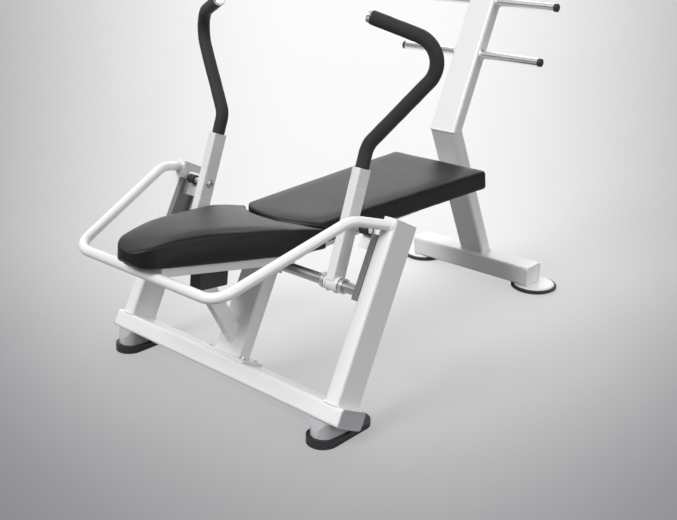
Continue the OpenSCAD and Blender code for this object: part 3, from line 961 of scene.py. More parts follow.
@dataclass
class Workshop:
    """Turns shapes into pieces of the bench and dresses them."""

    materials: dict[str, bpy.types.Material] = field(default_factory=dict)

    def mix_finishes(self, finishes: Iterable[Finish]) -> None:
        """Makes every finish's material once."""
        for finish in finishes:
            self.materials[finish.name] = finish.material()

    def piece(
        self,
        name: str,
        shape: Shape,
        finish: str,
        body: str = FRAME_BODY,
        replaces: Sequence[str] = (),
        smooth: float = 32.0,
    ) -> bpy.types.Object:
        """Makes a piece of the bench.

        Args:
            name: the piece's name.
            shape: its shape, which is used up.
            finish: name of its finish.
            body: body that it rides on.
            replaces: CAD nodes that it stands for.
            smooth: angle in degrees above which an edge stays sharp.

        Returns:
            The piece's object.
        """
        mesh = bpy.data.meshes.new(name)
        shape.mesh.to_mesh(mesh)
        shape.mesh.free()
        mesh.shade_smooth()
        mesh.set_sharp_from_angle(angle=math.radians(smooth))
        obj = bpy.data.objects.new(name, mesh)
        bpy.context.scene.collection.objects.link(obj)
        mesh.materials.append(self.materials[finish])
        level = obj.modifiers.new("even_shading", "WEIGHTED_NORMAL")
        level.keep_sharp = True
        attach(obj, body)
        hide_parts(*replaces)
        LOG.info("%s: %d faces", name, len(mesh.polygons))
        return obj

    def dress_nodes(self) -> None:
        """Gives every CAD node its finish, and eases the edges of those that stay in sight."""
        slots = {part["node"]: part["material_slot"] for part in frame["record"]["subparts"]}
        for name, node in frame["nodes"].items():
            node.data.materials.clear()
            node.data.materials.append(self.materials[slots[name]])
            if node.hide_render:
                continue
            weld = node.modifiers.new("joined", "WELD")
            weld.merge_threshold = WELD_GAP
            ease = node.modifiers.new("eased_edges", "BEVEL")
            ease.width = EASED.get(name, EASED_ELSEWHERE)
            ease.segments = 3
            ease.limit_method = "ANGLE"
            ease.angle_limit = math.radians(40)
            level = node.modifiers.new("even_shading", "WEIGHTED_NORMAL")
            level.keep_sharp = True
            LOG.info("%s keeps its CAD shape", name)


EASED: dict[str, float] = {
    "seat_block": 0.004,
    "stop_plates": 0.002,
    "seat_rails": 0.003,
    "seat_cross_bars": 0.003,
}
EASED_ELSEWHERE = 0.0012


# ---- frames of reference ----


@dataclass(frozen=True)
class Layout:
    """Leans and origins shared by the sub-assemblies."""

    lean: float = 27.0
    foot_gap: float = 0.02
    tube_w: float = 0.1
    tube_t: float = 0.05
    seat_rise: float = 6.28
    seat_under: float = 0.4182
    back_rise: float = 0.8
    back_front: tuple[float, float] = (0.196, 0.4)
    pivot_at: tuple[float, float] = (0.158, 0.351)
    arm_lean: float = 19.6

    @property
    def edge_z(self) -> float:
        """Height of the crossbar's top front edge."""
        angle = math.radians(self.lean)
        return self.foot_gap + self.tube_w * math.sin(angle) + self.tube_t * math.cos(angle)

    @property
    def mid_y(self) -> float:
        """Distance from the crossbar's top front edge to the middle of the bench."""
        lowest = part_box("front_crossbar")[0].y
        return -self.tube_t * math.sin(math.radians(self.lean)) - lowest

    def bench(self) -> Matrix:
        """The construction's own frame."""
        return moved(0, -self.mid_y, 0)

    def leaning(self) -> Matrix:
        """Frame of the front crossbar: Z up the uprights, Y through them."""
        return self.bench() @ moved(0, 0, self.edge_z) @ turned("X", -self.lean)

    def seat(self) -> Matrix:
        """Frame of the seat: Z = 0 is the underside of its board."""
        return self.bench() @ moved(0, 0, self.seat_under) @ turned("X", -self.seat_rise)

    def back(self) -> Matrix:
        """Frame of the back pad: Y = 0 at its front edge, Z = 0 under its board."""
        return self.bench() @ moved(0, *self.back_front) @ turned("X", self.back_rise)

    def pivot(self) -> Matrix:
        """Frame of the arms' shaft."""
        return self.bench() @ moved(0, *self.pivot_at)

    def arm(self) -> Matrix:
        """Frame of a resting arm: Z up the arm."""
        return self.pivot() @ turned("X", -self.arm_lean)


def direction(place: Matrix, vector: Sequence[float]) -> Vector:
    """A direction given in a frame, in the row's frame."""
    return (place.to_3x3() @ Vector(vector)).normalized()


# ---- front frame ----


@dataclass
class FrontFrame:
    """Leaning crossbar, its uprights, the loop rail and the centre post."""

    layout: Layout
    bar_half: float = 0.457
    corner: float = 0.009
    upright: tuple[float, float] = (0.393, 0.438)
    upright_len: float = 0.488
    lid_t: float = 0.004
    rail_r: float = 0.014
    rail_end_up: float = 0.47
    rail_rear: tuple[float, float, float] = (0.372, 0.121, 0.554)
    rail_front: tuple[float, float, float] = (0.278, -0.25, 0.42)
    rail_bends: tuple[float, ...] = (0.09, 0.06, 0.06, 0.09)
    post_y: tuple[float, float] = (0.025, 0.075)
    post_z: tuple[float, float] = (0.008, 0.262)
    plate_bolt_x: tuple[float, float] = (-0.068, 0.068)
    plate_bolt_y: tuple[float, float] = (0.026, 0.074)
    brace_lean: float = 29.4
    brace_up: float = 0.092
    brace_size: tuple[float, float] = (0.025, 0.045)
    brace_len: float = 0.36
    brace_start: float = -0.06
    block_drop: float = 0.102
    bead: float = 0.0042

    def build(self, shop: Workshop) -> None:
        """Builds every piece of the sub-assembly.

        Args:
            shop: the workshop that makes the pieces.
        """
        self.crossbar(shop)
        self.uprights(shop)
        self.rail(shop)
        self.post(shop)
        self.brace(shop)

    def crossbar(self, shop: Workshop) -> None:
        """Crossbar and its moulded end caps.

        Args:
            shop: the workshop that makes the pieces.
        """
        lean, tube_w, tube_t = self.layout.leaning(), self.layout.tube_w, self.layout.tube_t
        place = lean @ moved(-self.bar_half, tube_w / 2, -tube_t / 2) @ ALONG_X
        bar = Shape.tube(tube_t, tube_w, 2 * self.bar_half, self.corner).move(place)
        shop.piece("crossbar_tube", bar, "frame_paint", replaces=["front_crossbar"])
        cap = moulded_cap(tube_t, tube_w, self.corner)
        cap.move(lean @ moved(self.bar_half, tube_w / 2, -tube_t / 2) @ ALONG_X).both_sides()
        shop.piece("crossbar_caps", cap, "cap_plastic", replaces=["front_end_caps"])

    def uprights(self, shop: Workshop) -> None:
        """Uprights and the beads round their feet and caps.

        Args:
            shop: the workshop that makes the pieces.
        """
        lean = self.layout.leaning()
        width = self.upright[1] - self.upright[0]
        deep = self.layout.tube_w
        centre = (self.upright[0] + self.upright[1]) / 2
        for side in Side:
            place = lean @ moved(side.value * centre, deep / 2, 0)
            tube = Shape.tube(width, deep, self.upright_len, self.corner).move(place)
            up = direction(lean, (0, 0, 1))
            foot = tube.outlines(place @ Vector((0, 0, TINY * 100)), -up)[0]
            bead = Shape.bead(foot, up, self.bead)
            shop.piece(f"{side.word}_upright_tube", tube, "frame_paint", replaces=[f"{side.word}_upright"])
            shop.piece(f"{side.word}_upright_weld", bead, "frame_paint", smooth=60)
        lid = Shape.tube(width, deep, self.lid_t, self.corner).round_edges(0.0015, 3)
        lid.move(lean @ moved(centre, deep / 2, self.upright_len)).both_sides()
        shop.piece("upright_lids", lid, "frame_paint", replaces=["upright_caps"])

    def rail(self, shop: Workshop) -> None:
        """Loop rail and the beads at its two ends.

        Args:
            shop: the workshop that makes the pieces.
        """
        lean = self.layout.leaning()
        centre = (self.upright[0] + self.upright[1]) / 2
        bench = self.layout.bench()
        weld = lean @ Vector((centre, 0, self.rail_end_up))
        half = [weld, bench @ Vector(self.rail_rear), bench @ Vector(self.rail_front)]
        path = half + [Vector((-p.x, p.y, p.z)) for p in reversed(half)]
        for end, inner in ((0, 1), (-1, -2)):
            path[end] = path[end] + (path[end] - path[inner]).normalized() * 2 * self.rail_r
        rail = Shape.sweep(path, self.rail_bends, self.rail_r, 32, 0.04)
        normal = direction(lean, (0, 1, 0))
        loops = rail.slice(lean @ Vector((0, 0, 0)), normal)
        shop.piece("loop_rail_tube", rail, "frame_paint", replaces=["loop_rail"])
        beads = Shape()
        for loop in loops:
            beads.add(Shape.bead(from_lowest(loop), -normal, self.bead))
        shop.piece("loop_rail_welds", beads, "frame_paint", smooth=60)

    def post(self, shop: Workshop) -> None:
        """Centre post, the bead at its foot and the bolts of its base plate.

        Args:
            shop: the workshop that makes the pieces.
        """
        lean = self.layout.leaning()
        place = lean @ moved(0, sum(self.post_y) / 2, self.post_z[0])
        depth = self.post_y[1] - self.post_y[0]
        tube = Shape.tube(self.layout.tube_w, depth, self.post_z[1] - self.post_z[0], self.corner).move(place)
        up = direction(lean, (0, 0, 1))
        bead = Shape.bead(tube.outlines(place @ Vector((0, 0, TINY * 100)), -up)[0], up, self.bead)
        shop.piece("centre_post_tube", tube, "frame_paint", replaces=["centre_post"])
        shop.piece("centre_post_weld", bead, "frame_paint", smooth=60)
        bolts = Shape()
        for x in self.plate_bolt_x:
            for y in self.plate_bolt_y:
                spin = turned("Z", 400 * x + 900 * y)
                bolts.add(Shape.hex_bolt(*BOLT).move(lean @ moved(x, y, self.post_z[0]) @ spin))
        shop.piece("base_plate_bolts", bolts, "zinc_hardware", replaces=["post_base_bolts"])

    def brace(self, shop: Workshop) -> None:
        """Flat tube from the post up to the block under the seat.

        Args:
            shop: the workshop that makes the pieces.
        """
        lean, seat = self.layout.leaning(), self.layout.seat()
        foot = lean @ Vector((0, self.post_y[0], self.brace_up))
        start = moved(0, -self.brace_size[1] / 2, self.brace_start)
        place = Matrix.Translation(foot) @ turned("X", self.brace_lean) @ start
        tube = Shape.tube(*self.brace_size, self.brace_len, 0.004).move(place)
        front = direction(lean, (0, 1, 0))
        under = direction(seat, (0, 0, 1))
        foot_loop = tube.slice(lean @ Vector((0, self.post_y[0], 0)), front)[0]
        head_loop = tube.slice(seat @ Vector((0, 0, -self.block_drop)), under)[0]
        shop.piece("brace_tube", tube, "frame_paint", replaces=["brace"])
        beads = Shape.bead(foot_loop, -front, self.bead * 0.8)
        beads.add(Shape.bead(head_loop, -under, self.bead * 0.6))
        shop.piece("brace_welds", beads, "frame_paint", smooth=60)


def moulded_cap(width: float, depth: float, corner: float, proud: float = 0.0038) -> Shape:
    """Moulded end cap on a tube's end at Z = 0, with a lip, a shallow dished face and a plug inside.

    Args:
        width: the tube's size along X.
        depth: its size along Y.
        corner: radius of its corners.
        proud: height of the cap's lip.

    Returns:
        The cap.
    """
    cap = Shape.tube(width, depth, proud, corner)
    top = max(cap.mesh.faces, key=lambda f: f.calc_center_median().z)
    bmesh.ops.inset_region(cap.mesh, faces=[top], thickness=0.005, depth=0.0, use_even_offset=True)
    bmesh.ops.inset_region(cap.mesh, faces=[top], thickness=0.0015, depth=-0.0012, use_even_offset=True)
    cap.round_edges(0.0009, 2)
    plug = Shape.tube(width - 0.007, depth - 0.007, 0.015, max(corner - 0.003, 0.001), 4)
    return cap.add(plug.move(moved(0, 0, -0.015)))


# ---- feet ----


@dataclass
class Feet:
    """Rubber boots and wedges under the front crossbar, and the round feet of the rear one."""

    layout: Layout
    front_x: float = 0.398
    front_w: float = 0.088
    front_y: tuple[float, float] = (-0.05, 0.157)
    toe_h: float = 0.024
    heel_h: float = 0.015
    rim: float = 0.011
    groove: tuple[float, float] = (0.0055, 0.0075)
    groove_in: float = 0.0012
    rear_rim: float = 0.008
    rear_x: float = 0.243
    rear_y: float = 1.27
    rear_r: float = 0.08
    rear_pad_t: float = 0.014

    def build(self, shop: Workshop) -> None:
        """Builds every piece of the sub-assembly.

        Args:
            shop: the workshop that makes the pieces.
        """
        self.boots(shop)
        self.wedges(shop)
        self.rear(shop)

    def low_edges(self) -> tuple[Vector, Vector]:
        """Lower front and rear edges of the leaning crossbar, in the construction's frame.

        Returns:
            A point of the front edge and one of the rear edge.
        """
        place = self.layout.bench().inverted() @ self.layout.leaning()
        front = place @ Vector((0, 0, -self.layout.tube_t))
        rear = place @ Vector((0, self.layout.tube_w, -self.layout.tube_t))
        return front, rear

    def stadium(self, inset: float, height: float) -> Shape:
        """Long plate with round ends, on Z = 0 in the construction's frame.

        Args:
            inset: how much smaller it is all round.
            height: the plate's thickness.

        Returns:
            The plate.
        """
        half = self.front_w / 2 - inset
        low = (self.front_x - half, self.front_y[0] + inset, 0)
        plate = Shape.block(low, (self.front_x + half, self.front_y[1] - inset, height))
        tall = [e for e in plate.mesh.edges if abs(e.verts[0].co.z - e.verts[1].co.z) > height / 2]
        return plate.bevel(tall, half * 0.985, 14)

    def boots(self, shop: Workshop) -> None:
        """Rubber boots, high at the toe and flat at the heel, with a tread line.

        Args:
            shop: the workshop that makes the pieces.
        """
        _, rear = self.low_edges()
        boot = self.stadium(0.0, self.toe_h)
        bm = boot.mesh
        boot.score(rear, (0, 1, 0))
        for vert in bm.verts:
            if vert.co.z > TINY:
                share = min(1.0, (vert.co.y - self.front_y[0]) / (rear.y - self.front_y[0]))
                vert.co.z = self.toe_h + (self.heel_h - self.toe_h) * share
        low, high = self.groove
        for height in self.groove:
            boot.score((0, 0, height), (0, 0, 1))
        groove = [f for f in bm.faces if low < f.calc_center_median().z < high and abs(f.normal.z) < 0.5]
        bmesh.ops.inset_region(bm, faces=groove, thickness=0.0, depth=-self.groove_in, use_even_offset=True)
        boot.round_edges(0.0014, 2, 50)
        boot.move(self.layout.bench()).both_sides()
        shop.piece("front_boots", boot, "black_rubber", replaces=["front_foot_pads"])

    def wedges(self, shop: Workshop) -> None:
        """Plastic wedges between the boots and the crossbar.

        Args:
            shop: the workshop that makes the pieces.
        """
        front, rear = self.low_edges()
        wedge = self.stadium(self.rim, 0.08)
        under = (front - rear).cross(Vector((-1, 0, 0))).normalized()
        nose = Vector((0, front.y - 0.004, front.z)) - Vector((0, self.front_y[0], self.toe_h))
        boot_top = Vector((0, rear.y - self.front_y[0], self.heel_h - self.toe_h))
        wedge.slice(front, under if under.z > 0 else -under)
        wedge.slice(front, Vector((0, 0, 1)))
        wedge.slice(Vector((0, self.front_y[0], self.toe_h)), Vector((0, -nose.z, nose.y)))
        wedge.slice(Vector((0, self.front_y[0], self.toe_h)), Vector((0, boot_top.z, -boot_top.y)))
        wedge.slice(rear, Vector((0, 1, 0)))
        wedge.round_edges(0.0015, 2)
        wedge.move(self.layout.bench()).both_sides()
        shop.piece("front_wedges", wedge, "cap_plastic", replaces=["front_foot_saddles"])

    def rear(self, shop: Workshop) -> None:
        """Round rubber feet with a raised rim, and the painted plates on them.

        Args:
            shop: the workshop that makes the pieces.
        """
        place = self.layout.bench() @ moved(self.rear_x, self.rear_y, 0)
        inner = self.rear_r - self.rear_rim
        pad = Shape.lathe([
            (0.0, 0.0), (self.rear_r - 0.009, 0.0), (self.rear_r - 0.004, 0.0035), (self.rear_r, 0.0055),
            (self.rear_r, 0.0125), (self.rear_r - 0.0015, self.rear_pad_t), (inner + 0.0005, self.rear_pad_t),
            (inner + 0.0005, self.rear_pad_t - 0.001), (0.0, self.rear_pad_t - 0.001),
        ], 72).round_edges(0.001, 2, 50)
        shop.piece("rear_discs", pad.move(place).both_sides(), "black_rubber", replaces=["rear_foot_pads"])
        plate = Shape.lathe([
            (0.0, self.rear_pad_t), (inner, self.rear_pad_t), (inner, self.rear_pad_t + 0.0022),
            (inner - 0.006, self.layout.foot_gap), (0.0, self.layout.foot_gap),
        ], 72).round_edges(0.0008, 2, 20)
        plate.move(place).both_sides()
        shop.piece("rear_disc_plates", plate, "frame_paint", replaces=["rear_foot_plates"])


# ---- rear frame and rack ----


@dataclass
class Rack:
    """Rear crossbar, the bent rack tube and its storage pegs."""

    layout: Layout
    bar_half: float = 0.245
    bar_y: tuple[float, float] = (1.21, 1.3)
    bar_z: tuple[float, float] = (0.02, 0.087)
    kink: tuple[float, float] = (1.012, 0.5765)
    lower_lean: float = 24.0
    upper_lean: float = 25.7
    upper_len: float = 0.78
    corner: float = 0.009
    first_peg: float = 0.286
    peg_pitch: float = 0.19
    peg_r: float = 0.014
    root_r: float = 0.0145
    cap_r: float = 0.0137
    peg_reach: float = 0.272
    collar_r: float = 0.021
    collar_t: float = 0.006
    cap_t: float = 0.012
    bead: float = 0.0042

    def build(self, shop: Workshop) -> None:
        """Builds every piece of the sub-assembly.

        Args:
            shop: the workshop that makes the pieces.
        """
        self.crossbar(shop)
        self.tubes(shop)
        self.pegs(shop)

    def lower_frame(self) -> Matrix:
        """Frame of the lower tube, from the front of the kink: Z up the tube, Y through it."""
        return self.layout.bench() @ moved(0, *self.kink) @ turned("X", self.lower_lean)

    def upper_frame(self) -> Matrix:
        """Frame of the upper tube, from the front of the kink."""
        return self.layout.bench() @ moved(0, *self.kink) @ turned("X", -self.upper_lean)

    def crossbar(self, shop: Workshop) -> None:
        """Rear crossbar and its moulded end caps.

        Args:
            shop: the workshop that makes the pieces.
        """
        size = (self.bar_z[1] - self.bar_z[0], self.bar_y[1] - self.bar_y[0])
        middle = moved(0, sum(self.bar_y) / 2, sum(self.bar_z) / 2)
        place = self.layout.bench() @ middle @ moved(-self.bar_half, 0, 0) @ ALONG_X
        bar = Shape.tube(*size, 2 * self.bar_half, self.corner).move(place)
        shop.piece("rear_crossbar_tube", bar, "frame_paint", replaces=["rear_crossbar"])
        cap = moulded_cap(*size, self.corner)
        cap.move(self.layout.bench() @ middle @ moved(self.bar_half, 0, 0) @ ALONG_X).both_sides()
        shop.piece("rear_crossbar_caps", cap, "light_plastic", replaces=["rear_end_caps"])

    def tubes(self, shop: Workshop) -> None:
        """Lower and upper tube, mitred at the kink, with their beads and the top cap.

        Args:
            shop: the workshop that makes the pieces.
        """
        wide, deep = self.layout.tube_w, self.layout.tube_t
        low, high = self.lower_frame(), self.upper_frame()
        behind = (direction(low, (0, 1, 0)) + direction(high, (0, 1, 0))).normalized()
        mitre = Vector((1, 0, 0)).cross(behind)
        at_kink = low @ Vector((0, 0, 0))
        long = Shape.tube(wide, deep, 0.75, self.corner).move(low @ moved(0, deep / 2, -0.65))
        long.slice(at_kink, mitre)
        bar_top = self.layout.bench() @ Vector((0, self.bar_y[0], self.bar_z[1]))
        down = Vector((0, 0, -1))
        foot = long.slice(bar_top, down)[0]
        shop.piece("rack_lower_post", long, "frame_paint", replaces=["rack_lower_tube"])
        tall = Shape.tube(wide, deep, self.upper_len + 0.1, self.corner).move(high @ moved(0, deep / 2, -0.1))
        joint = tall.slice(at_kink, -mitre)[0]
        shop.piece("rack_upper_post", tall, "frame_paint", replaces=["rack_upper_tube"])
        beads = Shape.bead(foot, -down, self.bead * 1.1).add(Shape.bead(joint, mitre, self.bead, Weld.BUTT))
        shop.piece("rack_welds", beads, "frame_paint", smooth=60)
        cap = moulded_cap(wide, deep, self.corner).move(high @ moved(0, deep / 2, self.upper_len))
        shop.piece("rack_top_cap", cap, "light_plastic", replaces=["rack_cap"])

    def pegs(self, shop: Workshop) -> None:
        """Chrome pegs with welded collars and push-on rubber ends.

        Args:
            shop: the workshop that makes the pieces.
        """
        collars, caps = Shape(), Shape()
        for row, word in enumerate(("lower", "middle", "upper")):
            up = self.first_peg + row * self.peg_pitch
            place = self.upper_frame() @ moved(0, self.layout.tube_t / 2, up) @ ALONG_X
            reach, r = self.peg_reach, self.peg_r
            root = self.layout.tube_w / 2 + self.collar_t
            rod = Shape.lathe([
                (0.0, -reach), (r, -reach), (r, -root), (self.root_r, -root), (self.root_r, root),
                (r, root), (r, reach), (0.0, reach),
            ], 48)
            shop.piece(f"{word}_peg", rod.move(place), "peg_chrome", replaces=[f"{word}_peg_rod"])
            tip, lip = self.cap_r, self.collar_t - 0.0004
            collar = Shape.lathe([
                (self.root_r, 0.0), (self.collar_r, 0.0), (self.collar_r, 0.003),
                (r + 0.003, lip), (self.root_r, lip), (self.root_r, 0.0),
            ], 48).round_edges(0.0006, 2)
            cap = Shape.lathe([
                (0.0, 0.0), (tip, 0.0), (tip, 0.003), (tip - 0.001, 0.0042), (tip - 0.001, 0.0056),
                (tip, 0.0068), (tip, self.cap_t - 0.002), (tip - 0.003, self.cap_t), (0.0, self.cap_t),
            ], 48).round_edges(0.0006, 2, 25)
            across = place @ ALONG_X.inverted()
            for side in Side:
                sided = Matrix.Diagonal((side.value, 1, 1, 1)) @ across
                collars.add(collar.copy().move(sided @ moved(self.layout.tube_w / 2, 0, 0) @ ALONG_X))
                caps.add(cap.copy().move(sided @ moved(reach, 0, 0) @ ALONG_X))
        shop.piece("peg_collar_rings", collars, "zinc_hardware", replaces=["peg_collars"])
        shop.piece("peg_ends", caps, "black_plastic", replaces=["peg_end_caps"])


# ---- seat and back ----


def arc(centre: Sequence[float], radius: float, start: float, end: float, steps: int) -> Loop:
    """Points of an arc in the XY plane, from one angle in degrees to another."""
    angles = [math.radians(start + (end - start) * k / steps) for k in range(steps + 1)]
    return [Vector((centre[0] + radius * math.cos(a), centre[1] + radius * math.sin(a), 0)) for a in angles]


def curve(points: Sequence[tuple[float, float]], at: float) -> float:
    """Height of a smooth curve through points with rising first numbers.

    Args:
        points: place and height of each point.
        at: place to read.

    Returns:
        The height there.
    """
    index = max(1, min(len(points) - 1, sum(1 for place, _ in points if place <= at)))
    (x0, y0), (x1, y1) = points[index - 1], points[index]
    slopes = []
    for k in (index - 1, index):
        low, high = points[max(0, k - 1)], points[min(len(points) - 1, k + 1)]
        slopes.append((high[1] - low[1]) / (high[0] - low[0]))
    span = x1 - x0
    t = min(1.0, max(0.0, (at - x0) / span))
    bulge = t * (1 - t) * ((1 - t) * (slopes[0] * span - (y1 - y0)) - t * (slopes[1] * span - (y1 - y0)))
    return y0 + (y1 - y0) * t + bulge


@dataclass
class Pad:
    """An upholstered pad: foam on a board under pulled vinyl.

    Its slab is remeshed, mapped to its real heights, blown up as cloth with its underside held, and
    pulled into small tucks where the cover turns under the board.
    """

    name: str
    place: Matrix
    plan: Loop
    floor: Callable[[float], float]
    crown: Callable[[float], float]
    voxel: float
    swell: float
    tuck_pitch: float = 0.03
    tuck_depth: float = 0.0012
    edge: float = 0.009
    inset: float = 0.002
    depth: float = 0.06
    slack: float = 0.05
    easing: int = 40
    frames: int = 20
    held_below: float = 0.006

    def build(self, shop: Workshop) -> None:
        """Builds the pad.

        Args:
            shop: the workshop that makes the pieces.
        """
        shape = Shape()
        bm = shape.mesh
        outline = [bm.verts.new(point) for point in self.plan]
        face = bmesh.ops.contextual_create(bm, geom=outline)["faces"][0]
        if face.normal.z < 0:
            bmesh.ops.reverse_faces(bm, faces=[face])
        bmesh.ops.inset_region(bm, faces=[face], thickness=self.inset, use_even_offset=True)
        rim = [f for f in bm.faces if f is not face]
        bmesh.ops.delete(bm, geom=rim, context="FACES")
        base = bmesh.ops.duplicate(bm, geom=[face])["geom"]
        bmesh.ops.reverse_faces(bm, faces=[g for g in base if isinstance(g, bmesh.types.BMFace)])
        raised = bmesh.ops.extrude_face_region(bm, geom=[face])["geom"]
        up = [g for g in raised if isinstance(g, bmesh.types.BMVert)]
        bmesh.ops.translate(bm, vec=(0, 0, self.depth), verts=up)
        bmesh.ops.delete(bm, geom=[face], context="FACES_ONLY")
        bmesh.ops.remove_doubles(bm, verts=bm.verts, dist=WELD_GAP)
        bmesh.ops.recalc_face_normals(bm, faces=bm.faces)
        top = [e for e in bm.edges if all(v.co.z > self.depth - TINY * 10 for v in e.verts)]
        foot = [e for e in bm.edges if all(v.co.z < TINY * 10 for v in e.verts)]
        shape.bevel(top, self.edge, 4)
        shape.bevel([e for e in foot if e.is_valid], self.edge * 0.5, 3)
        pad = shop.piece(self.name, shape, "vinyl", replaces=[self.name], smooth=180)
        pad.modifiers.clear()
        self.bake(pad, "REMESH", mode="VOXEL", voxel_size=self.voxel)
        for vert in pad.data.vertices:
            share = min(1.0, max(0.0, vert.co.z / self.depth))
            low, high = self.floor(vert.co.y), self.crown(vert.co.y)
            vert.co.z = low + (high - low) * share
        self.inflate(pad)
        self.tuck(pad)
        pad.data.transform(self.place)
        finer = pad.modifiers.new("finer", "SUBSURF")
        finer.levels = finer.render_levels = 1
        pad.data.shade_smooth()
        LOG.info("%s: %d faces before its last subdivision", self.name, len(pad.data.polygons))

    def bake(self, pad: bpy.types.Object, kind: str, **settings: object) -> None:
        """Applies a modifier to the pad's mesh.

        Args:
            pad: the pad.
            kind: the modifier's type.
            settings: its settings.
        """
        made = pad.modifiers.new("baked", kind)
        for name, value in settings.items():
            setattr(made, name, value)
        graph = bpy.context.evaluated_depsgraph_get()
        mesh = bpy.data.meshes.new_from_object(pad.evaluated_get(graph))
        pad.modifiers.clear()
        pad.data = mesh

    def inflate(self, pad: bpy.types.Object) -> None:
        """Blows the cover up over its foam, with the underside held by the board.

        Args:
            pad: the pad.
        """
        before = [vert.co.copy() for vert in pad.data.vertices]
        held = pad.vertex_groups.new(name="held")
        low = [v.index for v in pad.data.vertices if v.co.z < self.floor(v.co.y) + self.held_below]
        held.add(low, 1.0, "REPLACE")
        cloth = pad.modifiers.new("cover", "CLOTH")
        settings = cloth.settings
        settings.quality = 4
        settings.mass = 0.3
        settings.tension_stiffness = settings.compression_stiffness = 25
        settings.bending_stiffness = 1.5
        settings.use_pressure = True
        settings.uniform_pressure_force = 4
        settings.vertex_group_mass = held.name
        settings.effector_weights.gravity = 0
        cloth.point_cache.frame_start, cloth.point_cache.frame_end = 1, self.frames
        scene = bpy.context.scene
        for number in range(1, self.frames + 1):
            scene.frame_set(number)
        graph = bpy.context.evaluated_depsgraph_get()
        after = [vert.co.copy() for vert in pad.evaluated_get(graph).data.vertices]
        pad.modifiers.clear()
        pad.vertex_groups.clear()
        scene.frame_set(1)
        steps = [new - old for old, new in zip(before, after)]
        for vert, old, rough, smooth in zip(pad.data.vertices, before, steps, self.eased(pad, steps)):
            step = smooth.lerp(rough, self.slack)
            if step.length > TINY:
                step *= self.swell * math.tanh(step.length / self.swell) / step.length
            vert.co = old + step

    def eased(self, pad: bpy.types.Object, steps: list[Vector]) -> list[Vector]:
        """Evens out how far neighbouring points of the cover moved, as stretched vinyl does.

        Args:
            pad: the pad.
            steps: how far each point moved.

        Returns:
            The evened steps.
        """
        near: list[list[int]] = [[] for _ in steps]
        for edge in pad.data.edges:
            first, second = edge.vertices
            near[first].append(second)
            near[second].append(first)
        for _ in range(self.easing):
            steps = [
                sum((steps[other] for other in others), step) / (len(others) + 1)
                for step, others in zip(steps, near)
            ]
        return steps

    def tuck(self, pad: bpy.types.Object) -> None:
        """Pulls shallow tucks into the sides just above the underside.

        Args:
            pad: the pad.
        """
        middle = sum(self.plan, Vector()) / len(self.plan)
        normals = [vert.normal.copy() for vert in pad.data.vertices]
        for vert, normal in zip(pad.data.vertices, normals):
            rise = vert.co.z - self.floor(vert.co.y)
            near = max(0.0, 1.0 - abs(rise - 0.004) / 0.022)
            if near <= 0 or abs(normal.z) > 0.9:
                continue
            out = vert.co - middle
            around = math.atan2(out.y, out.x) * 0.25 / self.tuck_pitch
            pull = 0.5 + 0.5 * math.sin(around * FULL_TURN * 0.5 + 5 * noise.noise(vert.co * 9))
            gather = 0.4 + 0.6 * max(0.0, noise.noise(vert.co * 6) + 0.4)
            vert.co -= normal * near * near * pull * gather * self.tuck_depth


